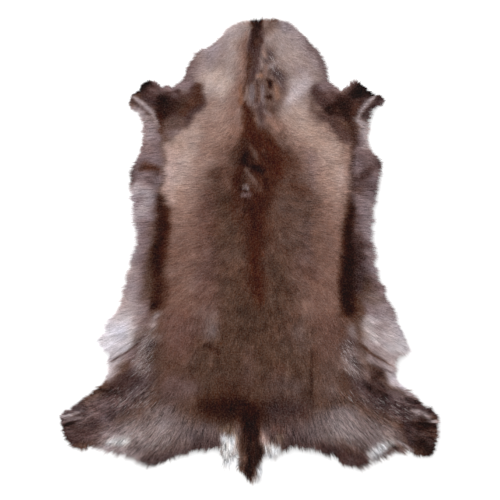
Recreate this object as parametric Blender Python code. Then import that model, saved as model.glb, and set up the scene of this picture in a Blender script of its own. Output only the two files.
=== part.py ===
"""A reindeer hide, tanned with its coat on and laid out flat, coat upwards.

Frame: metres, +Z up, the underside on z = 0. +Y runs towards the neck and -Y towards the tail; the left
side of the hide as laid out is at -X. The hide is one body: a lumpy slab, flat below and raised above by
the depth of the coat, whose rim is broken up into short locks of hair that lie on the floor.
"""

import math
import random
from collections import namedtuple

import bmesh
import bpy
from mathutils import Vector, noise
from mathutils.geometry import delaunay_2d_cdt

# Driving sizes, in metres
HIDE_LENGTH = 1.25  # nape to the hair at the tip of the tail
HALF_WIDTH = 0.507  # spine to the end of a hind shank
RIM_DEPTH = 0.0045  # height of the coat at the rim, where the locks start
RIM_ROLL = 0.042  # how far inside the rim the coat reaches its full depth
RIM_PITCH = 0.0136  # mean spacing of the points along the rim, one lock on each stretch
RIM_WANDER = 0.24  # share of the spacing by which those points wander, so that locks differ in width
TOP_PITCH = 0.0205  # spacing of the points of the upper surface
TOP_JITTER = 0.22  # share of the spacing by which those points wander
RIM_CLEARANCE = 0.0075  # nearest that such a point comes to the rim
CURVE_STEPS = 12  # points worked out between two landmarks before the rim is spaced out
INSIDE_FACES = 1  # the triangulation keeps the faces inside the rim
SAME_SPOT = 1e-7  # and takes spots as near as this for one

# Depth of the coat: a broad field from the neck to the rump, thinner on shanks and flanks
BACK_DEPTH = 0.021
NECK_DEPTH = 0.026
NECK_START, NECK_END = 0.135, 0.27  # shares of the length over which the neck's longer coat runs out
FLANK_DEPTH = 0.016
FLANK_START, FLANK_END = 0.30, 0.62  # shares of the half width between back and flank depth
SHANK_DEPTH = 0.0085
SHANK_START, SHANK_END = 0.58, 0.86

# Unevenness of the coat: two sizes of lump
LUMP_SIZES = ((0.085, 0.0026), (0.042, 0.0012))  # width of a lump, height of a lump
LUMP_SEED = 31.7

# Locks of hair at the rim
LOCK_SEED = 8
LOCK_LEAN = 0.45  # how far the locks lean towards the tail
LOCK_WAIST = 0.55  # share of the length at which a lock has its middle section
LOCK_WAIST_WIDTH = 0.58  # width of that section as a share of the root
LOCK_WAIST_DEPTH = 0.55  # height of that section as a share of the rim's
LOCK_SPREAD = (0.65, 1.35)  # shortest and longest lock as a share of the landmark's length
LOCK_SWAY = 0.22  # random sideways turn of a lock, in radians
NOOK_REACH = 1.1  # a lock is cut short where the rim turns to face it within this many lengths
NOOK_TURN = -0.35  # or where the rim turns inwards by this much beside it, in radians
NOOK_SHARE = 0.30  # share of the length that such a lock keeps

# One row for each landmark from the nape to the tail. Down is a percentage of the hide's length from the
# nape, out a percentage of the half width from the spine, and lock the length of the hair there in mm.
Landmark = namedtuple("Landmark", "name left_down left_out right_down right_out lock")
LANDMARKS = [
    Landmark("nape", 1.1, 3.0, 0.8, 9.0, 14),
    Landmark("neck corner", 2.6, 11.0, 1.2, 19.6, 12),
    Landmark("upper neck", 5.4, 17.9, 3.6, 27.4, 13),
    Landmark("neck ruff", 7.6, 25.2, 6.6, 34.4, 13),
    Landmark("neck side", 9.9, 29.9, 9.8, 38.4, 12),
    Landmark("neck root", 12.8, 32.4, 13.0, 40.6, 10),
    Landmark("shoulder dip", 15.0, 40.0, 15.6, 46.8, 7),
    Landmark("front shank root", 14.6, 47.0, 15.0, 51.4, 8),
    Landmark("front shank point", 13.2, 52.5, 13.9, 56.4, 7),
    Landmark("front shank end", 15.8, 57.7, 15.7, 61.6, 6),
    Landmark("front shank cleft", 17.2, 61.0, 16.7, 66.2, 5),
    Landmark("front shank heel", 18.4, 61.6, 17.4, 69.8, 6),
    Landmark("front shank back", 20.5, 56.8, 19.7, 65.4, 8),
    Landmark("elbow", 23.0, 54.0, 21.9, 62.6, 13),
    Landmark("armpit", 26.0, 54.4, 25.0, 62.1, 15),
    Landmark("brisket", 28.3, 56.6, 27.4, 63.1, 14),
    Landmark("chest side", 30.4, 59.0, 29.6, 66.4, 12),
    Landmark("chest", 33.0, 61.3, 31.7, 68.4, 12),
    Landmark("ribs", 37.2, 60.6, 37.2, 65.9, 12),
    Landmark("short ribs", 41.5, 59.4, 41.3, 64.4, 12),
    Landmark("waist", 46.6, 58.2, 46.0, 63.7, 12),
    Landmark("loin", 50.4, 59.6, 50.9, 65.1, 12),
    Landmark("flank", 56.8, 63.6, 57.4, 69.6, 13),
    Landmark("belly top", 61.9, 67.2, 62.1, 75.3, 15),
    Landmark("belly", 66.8, 73.4, 66.6, 80.0, 19),
    Landmark("belly point", 70.0, 74.9, 69.8, 82.2, 19),
    Landmark("stifle", 73.2, 72.8, 73.4, 77.6, 15),
    Landmark("thigh", 76.6, 74.4, 76.2, 75.4, 12),
    Landmark("hock", 78.9, 79.1, 78.6, 79.2, 11),
    Landmark("shin", 82.3, 88.0, 81.2, 86.6, 10),
    Landmark("hind shank point", 84.2, 98.2, 84.2, 97.9, 8),
    Landmark("hind shank end", 87.2, 97.7, 87.4, 98.2, 8),
    Landmark("hind shank heel", 89.4, 95.4, 90.4, 97.5, 7),
    Landmark("hind shank back", 91.2, 89.8, 92.8, 94.8, 9),
    Landmark("hamstring", 90.8, 82.2, 91.7, 84.3, 12),
    Landmark("ham edge", 91.4, 69.0, 91.4, 74.3, 16),
    Landmark("ham fringe", 93.1, 58.0, 92.8, 64.8, 17),
    Landmark("ham point", 94.7, 51.2, 94.7, 55.4, 15),
    Landmark("inner ham", 93.3, 43.3, 92.9, 47.0, 12),
    Landmark("rump", 91.8, 30.2, 91.4, 33.3, 12),
    Landmark("seat", 91.2, 18.4, 91.1, 20.0, 12),
    Landmark("tail tuft", 93.5, 10.6, 92.6, 12.6, 17),
    Landmark("tail root", 91.8, 6.0, 92.0, 7.8, 5),
    Landmark("tail side", 94.2, 3.8, 94.2, 6.0, 10),
    Landmark("tail end", 97.4, -0.6, 97.5, 4.4, 20),
]

# Ridges and hollows of the coat as it lies: from one place to another, given as down and across in
# percentages as above (across is negative on the left), with the reach and the height in mm.
Fold = namedtuple("Fold", "name down across end_down end_across reach height")
FOLDS = [
    Fold("mane ridge", 2, 2, 26, 3, 22, 3.0),
    Fold("withers", 26, 2, 38, 3, 45, 3.0),
    Fold("left neck hollow", 12, -17, 24, -19, 26, -2.2),
    Fold("right neck hollow", 12, 22, 24, 24, 26, -2.2),
    Fold("left shoulder roll", 17, -30, 22, -50, 24, 2.6),
    Fold("right shoulder roll", 17, 36, 22, 54, 24, 2.6),
    Fold("left front shank strip", 17.5, -58, 26, -47, 13, 2.2),
    Fold("right front shank strip", 17.5, 62, 26, 54, 13, 2.2),
    Fold("left back lip", 26, -43, 62, -43, 15, 1.8),
    Fold("right back lip", 26, 54, 62, 54, 15, 1.8),
    Fold("left flank trough", 36, -48.5, 62, -47.5, 14, -4.2),
    Fold("right flank trough", 36, 55.5, 62, 54.5, 14, -4.2),
    Fold("left belly pad", 64, -66, 74, -68, 38, 4.0),
    Fold("right belly pad", 64, 70, 72, 72, 38, 4.0),
    Fold("left belly crease", 73.5, -72, 68, -55, 13, -3.4),
    Fold("right belly crease", 70, 58, 74, 74, 13, -3.4),
    Fold("left haunch", 78, -44, 88, -56, 52, 3.2),
    Fold("right haunch", 78, 46, 88, 58, 52, 3.2),
    Fold("left hind shank strip", 85, -95, 87, -74, 14, 2.0),
    Fold("right hind shank strip", 85, 96, 87, 76, 14, 2.0),
    Fold("rump hollow", 80, -26, 80, 32, 34, -2.0),
    Fold("tail ridge", 84, 0.5, 96, 0.5, 16, 2.4),
]

COAT_COLOUR = (0.105, 0.062, 0.045, 1.0)
COAT_ROUGHNESS = 0.88
PERCENT = 0.01
MILLIMETRE = 0.001


def place(down, across):
    """The spot on the floor for a share of the length down the spine and of the half width across it."""
    return Vector((across * PERCENT * HALF_WIDTH, (0.5 - down * PERCENT) * HIDE_LENGTH))


def smooth(value, start, end):
    """0 before start, 1 after end, and an even S between them."""
    share = min(max((value - start) / (end - start), 0.0), 1.0)
    return share * share * (3.0 - 2.0 * share)


def blend(first, second, share):
    return first + (second - first) * share


def clear_scene():
    for item in list(bpy.data.objects):
        bpy.data.objects.remove(item, do_unlink=True)


def curve_through(knots):
    """Catmull-Rom curve through a closed ring of knots, as a fine ring of (x, y, lock length)."""
    ring = []
    count = len(knots)
    for index in range(count):
        before, start, end, after = (knots[(index + step) % count] for step in (-1, 0, 1, 2))
        for step in range(CURVE_STEPS):
            t = step / CURVE_STEPS
            ring.append(0.5 * (2.0 * start + (end - before) * t
                               + (2.0 * before - 5.0 * start + 4.0 * end - after) * t ** 2
                               + (3.0 * start - before - 3.0 * end + after) * t ** 3))
    return ring


def spaced_out(ring, pitch, chance):
    """The same ring with its points about one pitch apart."""
    lengths = [(ring[i].xy - ring[i - 1].xy).length for i in range(1, len(ring))]
    lengths.append((ring[0].xy - ring[-1].xy).length)
    count = round(sum(lengths) / pitch)
    step = sum(lengths) / count
    even, walked, index = [], 0.0, 0
    for number in range(count):
        target = (number + chance.uniform(0.0, RIM_WANDER)) * step
        while walked + lengths[index] < target:
            walked += lengths[index]
            index += 1
        share = (target - walked) / lengths[index]
        even.append(ring[index].lerp(ring[(index + 1) % len(ring)], share))
    return even


def rim_ring(chance):
    """The rim, counter-clockwise from above: down the left side and up the right, with lock lengths."""
    def knot(down, across, lock):
        spot = place(down, across)
        return Vector((spot.x, spot.y, lock * MILLIMETRE))

    left = [knot(row.left_down, -row.left_out, row.lock) for row in LANDMARKS]
    right = [knot(row.right_down, row.right_out, row.lock) for row in LANDMARKS]
    return spaced_out(curve_through(left + right[::-1]), RIM_PITCH, chance)


def distance_to_stretch(spot, start, end):
    """Distance from a spot to the line between two others, and how far along that line it falls."""
    line = end - start
    along = min(max((spot - start).dot(line) / line.length_squared, 0.0), 1.0)
    return (spot - start - line * along).length, along


def distance_to_rim(spot, rim):
    return min(distance_to_stretch(spot, rim[i - 1].xy, rim[i].xy)[0] for i in range(len(rim)))


def is_inside(spot, rim):
    """Counts how often a line from the spot towards +X crosses the rim."""
    crossings = 0
    for index, end in enumerate(rim):
        start = rim[index - 1]
        if (start.y > spot.y) != (end.y > spot.y):
            crossing = start.x + (spot.y - start.y) / (end.y - start.y) * (end.x - start.x)
            crossings += spot.x < crossing
    return crossings % 2 == 1


def coat_depth(spot, rim_distance):
    """Height of the upper surface over a spot on the floor."""
    down = 0.5 - spot.y / HIDE_LENGTH
    out = abs(spot.x) / HALF_WIDTH
    depth = blend(NECK_DEPTH, BACK_DEPTH, smooth(down, NECK_START, NECK_END))
    depth = blend(depth, FLANK_DEPTH, smooth(out, FLANK_START, FLANK_END))
    depth = blend(depth, SHANK_DEPTH, smooth(out, SHANK_START, SHANK_END))
    for fold in FOLDS:
        start = place(fold.down, fold.across)
        end = place(fold.end_down, fold.end_across)
        away, _ = distance_to_stretch(spot, start, end)
        depth += fold.height * MILLIMETRE * math.exp(-(away / (fold.reach * MILLIMETRE)) ** 2)
    for size, height in LUMP_SIZES:
        depth += height * noise.noise(Vector((spot.x / size, spot.y / size, LUMP_SEED)))
    return blend(RIM_DEPTH, depth, math.sin(0.5 * math.pi * min(rim_distance / RIM_ROLL, 1.0)))


def top_spots(rim, chance):
    """Spots of the upper surface inside the rim, in wandering staggered rows."""
    row_pitch = TOP_PITCH * math.sqrt(3.0) / 2.0
    rows = int(HIDE_LENGTH / row_pitch)
    columns = int(2.0 * HALF_WIDTH / TOP_PITCH) + 1
    spots = []
    for row in range(rows + 1):
        for column in range(columns + 1):
            x = (column + 0.5 * (row % 2)) * TOP_PITCH - HALF_WIDTH
            y = row * row_pitch - 0.5 * HIDE_LENGTH
            wander = [chance.uniform(-TOP_JITTER, TOP_JITTER) * TOP_PITCH for _ in range(2)]
            spot = Vector((x + wander[0], y + wander[1]))
            if is_inside(spot, rim):
                away = distance_to_rim(spot, rim)
                if away > RIM_CLEARANCE:
                    spots.append((spot, away))
    return spots


def triangles_inside(rim, spots):
    """Triangles over the rim's points and then the spots, as index triples, facing up."""
    count = len(rim)
    coords = [point.xy for point in rim] + [spot for spot, _ in spots]
    edges = [(index, (index + 1) % count) for index in range(count)]
    _, _, faces, origins, _, _ = delaunay_2d_cdt(coords, edges, [], INSIDE_FACES, SAME_SPOT)
    return [[origins[corner][0] for corner in face] for face in faces]


def turn_at(index, rim):
    """How far the rim turns at a point, in radians: below nothing where it turns inwards."""
    before = rim[index].xy - rim[index - 1].xy
    after = rim[(index + 1) % len(rim)].xy - rim[index].xy
    return math.atan2(before.cross(after), before.dot(after))


def lock_length(index, rim, outward):
    """The hair's own length, shortened where another stretch of the rim faces it across a nook."""
    root = (rim[index].xy + rim[(index + 1) % len(rim)].xy) / 2.0
    length = (rim[index].z + rim[(index + 1) % len(rim)].z) / 2.0
    if min(turn_at(index, rim), turn_at((index + 1) % len(rim), rim)) < NOOK_TURN:
        return length * NOOK_SHARE
    reach = length * LOCK_SPREAD[1]
    for other in range(len(rim)):
        steps = min((other - index) % len(rim), (index + 1 - other) % len(rim))
        if steps > 1 and (root + outward * reach - rim[other].xy).length < NOOK_REACH * reach:
            return length * NOOK_SHARE
    return length


def add_lock(shape, section, tip, waist_at):
    """A four-sided tongue from a section of the rim's wall to its tip, level on the floor below."""
    root = sum((corner.co for corner in section), Vector()) / len(section)
    foot = Vector((root.x, root.y, 0.0))
    waist = []
    for corner in section:
        aside = (corner.co - foot) * LOCK_WAIST_WIDTH
        waist.append(shape.verts.new((waist_at.x + aside.x, waist_at.y + aside.y,
                                      corner.co.z * LOCK_WAIST_DEPTH)))
    end = shape.verts.new((tip.x, tip.y, 0.0))
    for side in range(4):
        after = (side + 1) % 4
        shape.faces.new((section[side], section[after], waist[after], waist[side]))
        shape.faces.new((waist[side], waist[after], end))


def add_locks(shape, rim, lower, upper, chance):
    """One lock on each stretch of the rim."""
    for index in range(len(rim)):
        after = (index + 1) % len(rim)
        along = rim[after].xy - rim[index].xy
        outward = Vector((along.y, -along.x)).normalized()
        heading = (outward + Vector((0.0, -LOCK_LEAN))).normalized()
        length = lock_length(index, rim, heading) * chance.uniform(*LOCK_SPREAD)
        sway = chance.uniform(-LOCK_SWAY, LOCK_SWAY)
        bent = Vector((heading.x * math.cos(sway) - heading.y * math.sin(sway),
                       heading.x * math.sin(sway) + heading.y * math.cos(sway)))
        root = (rim[index].xy + rim[after].xy) / 2.0
        waist_at = root + heading * length * LOCK_WAIST
        tip = waist_at + bent * length * (1.0 - LOCK_WAIST)
        add_lock(shape, (lower[index], lower[after], upper[after], upper[index]), tip, waist_at)


def coat_material():
    material = bpy.data.materials.new("reindeer_coat")
    material.use_nodes = True
    shader = material.node_tree.nodes["Principled BSDF"]
    shader.inputs["Base Color"].default_value = COAT_COLOUR
    shader.inputs["Roughness"].default_value = COAT_ROUGHNESS
    shader.inputs["Metallic"].default_value = 0.0
    return material


def centred(shape):
    """Moves the body so that the middle of its box stands over the origin."""
    xs = [vert.co.x for vert in shape.verts]
    ys = [vert.co.y for vert in shape.verts]
    middle = Vector((min(xs) + max(xs), min(ys) + max(ys), 0.0)) / 2.0
    bmesh.ops.translate(shape, vec=-middle, verts=shape.verts)


def build_hide():
    chance = random.Random(LOCK_SEED)
    rim = rim_ring(chance)
    spots = top_spots(rim, chance)
    shape = bmesh.new()
    lower = [shape.verts.new((point.x, point.y, 0.0)) for point in rim]
    upper = [shape.verts.new((point.x, point.y, RIM_DEPTH)) for point in rim]
    raised = [shape.verts.new((spot.x, spot.y, coat_depth(spot, away))) for spot, away in spots]
    top = upper + raised
    for corners in triangles_inside(rim, spots):
        shape.faces.new([top[corner] for corner in corners])
    for corners in triangles_inside(rim, []):
        shape.faces.new([lower[corner] for corner in reversed(corners)])
    add_locks(shape, rim, lower, upper, chance)
    centred(shape)
    mesh = bpy.data.meshes.new("hide")
    shape.to_mesh(mesh)
    shape.free()
    mesh.shade_smooth()
    mesh.materials.append(coat_material())
    hide = bpy.data.objects.new("hide", mesh)
    bpy.context.scene.collection.objects.link(hide)
    return hide


clear_scene()
build_hide()
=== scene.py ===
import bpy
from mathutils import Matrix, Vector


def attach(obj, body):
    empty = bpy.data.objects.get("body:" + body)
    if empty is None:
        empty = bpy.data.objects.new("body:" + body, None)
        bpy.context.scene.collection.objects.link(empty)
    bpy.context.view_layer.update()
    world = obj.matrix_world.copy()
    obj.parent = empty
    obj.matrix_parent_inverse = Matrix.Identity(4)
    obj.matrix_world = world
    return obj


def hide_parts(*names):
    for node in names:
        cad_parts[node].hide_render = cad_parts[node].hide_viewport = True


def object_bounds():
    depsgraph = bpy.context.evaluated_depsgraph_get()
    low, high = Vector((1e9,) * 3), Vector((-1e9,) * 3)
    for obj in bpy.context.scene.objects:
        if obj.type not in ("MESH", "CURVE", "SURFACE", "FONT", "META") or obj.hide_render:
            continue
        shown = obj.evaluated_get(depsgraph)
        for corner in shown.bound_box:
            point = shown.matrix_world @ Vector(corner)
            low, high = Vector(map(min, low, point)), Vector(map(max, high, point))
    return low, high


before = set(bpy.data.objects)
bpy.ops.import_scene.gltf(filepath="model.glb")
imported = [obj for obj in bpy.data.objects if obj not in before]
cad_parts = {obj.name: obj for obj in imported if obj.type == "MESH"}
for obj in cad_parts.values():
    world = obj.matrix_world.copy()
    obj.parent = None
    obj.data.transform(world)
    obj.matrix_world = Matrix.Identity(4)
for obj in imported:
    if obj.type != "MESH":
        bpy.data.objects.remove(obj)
cadBox = [[float(value) for value in corner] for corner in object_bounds()]

import math
import bpy
import bmesh
import numpy as np
from mathutils import Vector
from mathutils.bvhtree import BVHTree
from mathutils.geometry import delaunay_2d_cdt

# A reindeer hide with its coat up, seen from straight above, as in the photograph. Places on the coat are
# told in the photograph's pixels and turned into metres by one scale. The middle of the hide is at the
# origin.
photo = {"pixel": 0.00266, "middleX": 249.5, "middleY": 252.0, "side": 500}  # metres, then pixels
millimetre = 0.001
tiny = 1e-9         # keeps a division off nought
fullColour = 255    # the brightest value of a colour as seen

# Whole numbers that stir a place and a seed into a chance value 32 bits wide, of which half are used
stirring = {"column": 374761393, "row": 668265263, "seed": 982451653, "again": 1274126177,
            "firstShift": 13, "lastShift": 16, "all": 0xFFFFFFFF, "half": 0xFFFF}
# Where the random fields of the coat start, so that no two are alike
noiseSeeds = {"across": 3, "down": 7, "warm": 11, "patches": 15, "streaks": 31, "lumps": 40}
# How a colour as seen goes with the light behind it: straight below the kink, curved above
eyeCurve = {"kink": 0.04045, "slope": 12.92, "offset": 0.055, "whole": 1.055, "power": 2.4}


def photoPlace(x, y):  # metres on the hide to places in the photograph, for numbers or arrays
    return x / photo["pixel"] + photo["middleX"], photo["middleY"] - y / photo["pixel"]


def smooth(value, start, end):
    share = np.clip((value - start) / (end - start), 0.0, 1.0)
    return share * share * (3.0 - 2.0 * share)


def patchNoise(x, y, seed):  # soft random field from -1 to 1, about one patch to a unit square
    column, row = np.floor(x).astype(np.int64), np.floor(y).astype(np.int64)
    acrossShare, downShare = smooth(x - column, 0.0, 1.0), smooth(y - row, 0.0, 1.0)

    def corner(rightBy, downBy):
        mixed = (column + rightBy) * stirring["column"] + (row + downBy) * stirring["row"]
        mixed = (mixed + seed * stirring["seed"]) & stirring["all"]
        mixed = ((mixed ^ (mixed >> stirring["firstShift"])) * stirring["again"]) & stirring["all"]
        return ((mixed ^ (mixed >> stirring["lastShift"])) & stirring["half"]) / (stirring["half"] / 2) - 1.0

    top = corner(0, 0) * (1 - acrossShare) + corner(1, 0) * acrossShare
    low = corner(0, 1) * (1 - acrossShare) + corner(1, 1) * acrossShare
    return top * (1 - downShare) + low * downShare


def strokeReach(x, y, points):  # distance beyond the edge of a stroke of (x, y, radius) points
    reach = np.full(np.shape(x), np.inf)
    for (startX, startY, startR), (endX, endY, endR) in zip(points[:1] + points[:-1], points):
        runX, runY = endX - startX, endY - startY
        along = np.clip(((x - startX) * runX + (y - startY) * runY) / max(runX ** 2 + runY ** 2, tiny), 0, 1)
        away = np.hypot(x - startX - runX * along, y - startY - runY * along)
        reach = np.minimum(reach, away - startR - (endR - startR) * along)
    return reach


def strokeMask(x, y, points, soft):
    return 1.0 - smooth(strokeReach(x, y, points), -soft, soft)


def linear(colour):  # a colour as seen, 0 to 255, to the light it gives back
    seen = np.asarray(colour, float) / fullColour
    curved = ((seen + eyeCurve["offset"]) / eyeCurve["whole"]) ** eyeCurve["power"]
    return np.where(seen <= eyeCurve["kink"], seen / eyeCurve["slope"], curved)


# Which way the hair lies and how long it is. Rows: name, place in the photograph, heading in degrees from
# straight towards the tail, positive to the right, and the hair's length in millimetres. Each row counts
# for about its reach round its place, in pixels.
combing = {"reach": 22.0, "rows": [
    ("nape", 256, 22, 0, 20), ("leftNape", 228, 40, -68, 22), ("rightNape", 290, 36, 66, 22),
    ("leftNeck", 208, 66, -80, 24), ("rightNeck", 310, 66, 78, 24), ("mane", 254, 60, 2, 15),
    ("leftMane", 228, 68, -74, 20), ("rightMane", 284, 64, 74, 20), ("neckScar", 262, 88, 14, 9),
    ("leftNeckRoot", 212, 98, -84, 22), ("rightNeckRoot", 300, 98, 82, 22), ("maneEnd", 252, 105, 0, 20),
    ("leftShoulder", 178, 102, -66, 17), ("rightShoulder", 338, 104, 66, 17),
    ("leftFrontShank", 150, 96, -118, 12), ("rightFrontShank", 362, 96, 118, 12),
    ("leftElbow", 150, 124, -72, 20), ("rightElbow", 362, 122, 70, 20),
    ("leftPanelTop", 206, 128, -88, 20), ("rightPanelTop", 308, 128, 88, 20),
    ("withersTop", 256, 138, 0, 14), ("leftWithers", 228, 160, -80, 18), ("rightWithers", 286, 160, 80, 18),
    ("withersScar", 253, 174, 0, 9),
    ("leftPanel", 190, 168, -90, 22), ("rightPanel", 326, 168, 90, 22),
    ("leftChest", 146, 160, -80, 22), ("rightChest", 364, 160, 80, 22),
    ("withersEnd", 257, 195, 0, 18), ("leftRibs", 214, 208, -84, 20), ("rightRibs", 300, 208, 84, 20),
    ("leftSide", 178, 220, -88, 22), ("rightSide", 336, 220, 88, 22),
    ("leftStrip", 144, 215, -82, 24), ("rightStrip", 364, 215, 82, 24),
    ("spine", 256, 250, 0, 18), ("leftBack", 212, 262, -58, 20), ("rightBack", 302, 262, 56, 20),
    ("leftLoin", 176, 275, -52, 22), ("rightLoin", 336, 275, 50, 22),
    ("leftFlank", 140, 275, -80, 26), ("rightFlank", 368, 275, 78, 26),
    ("leftBelly", 122, 322, -80, 36), ("rightBelly", 382, 320, 74, 36),
    ("leftGroin", 122, 356, -54, 32), ("rightGroin", 386, 354, 56, 32),
    ("lowSpine", 254, 320, 0, 19), ("leftCroup", 206, 330, -16, 20), ("rightCroup", 302, 330, 14, 20),
    ("leftStifle", 162, 350, -34, 22), ("rightStifle", 346, 350, 32, 22),
    ("croup", 254, 375, 0, 20), ("leftRump", 206, 390, -12, 22), ("rightRump", 304, 390, 12, 22),
    ("leftThigh", 150, 392, -46, 24), ("rightThigh", 358, 392, 46, 24),
    ("leftHind", 100, 405, -66, 20), ("rightHind", 400, 402, 66, 20),
    ("leftHindShank", 74, 425, -82, 14), ("rightHindShank", 428, 428, 82, 14),
    ("leftHam", 132, 432, -48, 30), ("rightHam", 372, 430, 46, 30),
    ("leftHamPoint", 160, 440, -36, 30), ("rightHamPoint", 346, 440, 34, 30),
    ("leftSeat", 200, 432, -18, 28), ("rightSeat", 304, 432, 18, 28),
    ("leftTuft", 230, 440, -8, 30), ("rightTuft", 274, 438, 8, 30), ("dock", 251, 425, 0, 26),
    ("tail", 251, 460, 6, 30),
]}


def combAt(x, y):  # heading across and down, and hair length in metres, at places in the photograph
    total, across, down, length = (np.zeros(np.shape(x)) for _ in range(4))
    for _, rowX, rowY, heading, rowLength in combing["rows"]:
        weight = np.exp(-((x - rowX) ** 2 + (y - rowY) ** 2) / (2 * combing["reach"] ** 2)) + tiny
        total += weight
        across += weight * math.sin(math.radians(heading))
        down += weight * math.cos(math.radians(heading))
        length += weight * rowLength
    size = np.hypot(across, down) + tiny
    return across / size, down / size, length / total * millimetre


# Colours of the hair as seen, 0 to 255
hairColours = {
    "backBrown": (90, 67, 58), "warmBrown": (125, 95, 85), "roseBrown": (110, 81, 74),
    "oliveBrown": (82, 61, 51), "umber": (78, 51, 41), "rust": (66, 34, 21), "withersRed": (70, 41, 30),
    "darkUmber": (56, 35, 27), "nearBlack": (40, 23, 18), "soot": (30, 18, 16), "inkGrey": (62, 47, 48),
    "greyBrown": (101, 79, 72), "rosyFawn": (141, 109, 98), "fawn": (154, 124, 113), "tan": (172, 147, 136),
    "pinkTan": (194, 165, 157), "cream": (193, 171, 162), "lilacCream": (192, 175, 174),
    "neckTan": (157, 137, 131), "bistre": (38, 14, 3), "pitch": (20, 2, 0), "mauveGrey": (148, 131, 131),
    "paleMauve": (168, 151, 150), "mauve": (130, 110, 111), "dimMauve": (108, 89, 89),
    "slate": (88, 72, 72), "plumBrown": (76, 56, 54), "haunchGrey": (117, 101, 99),
    "haunchPale": (140, 124, 122), "hazel": (122, 101, 86), "lilac": (199, 186, 186),
    "paleLilac": (208, 198, 198), "orangeTan": (176, 124, 96), "scarGrey": (124, 112, 115),
    "bone": (212, 206, 203), "paleHair": (196, 184, 182),
}

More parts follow.
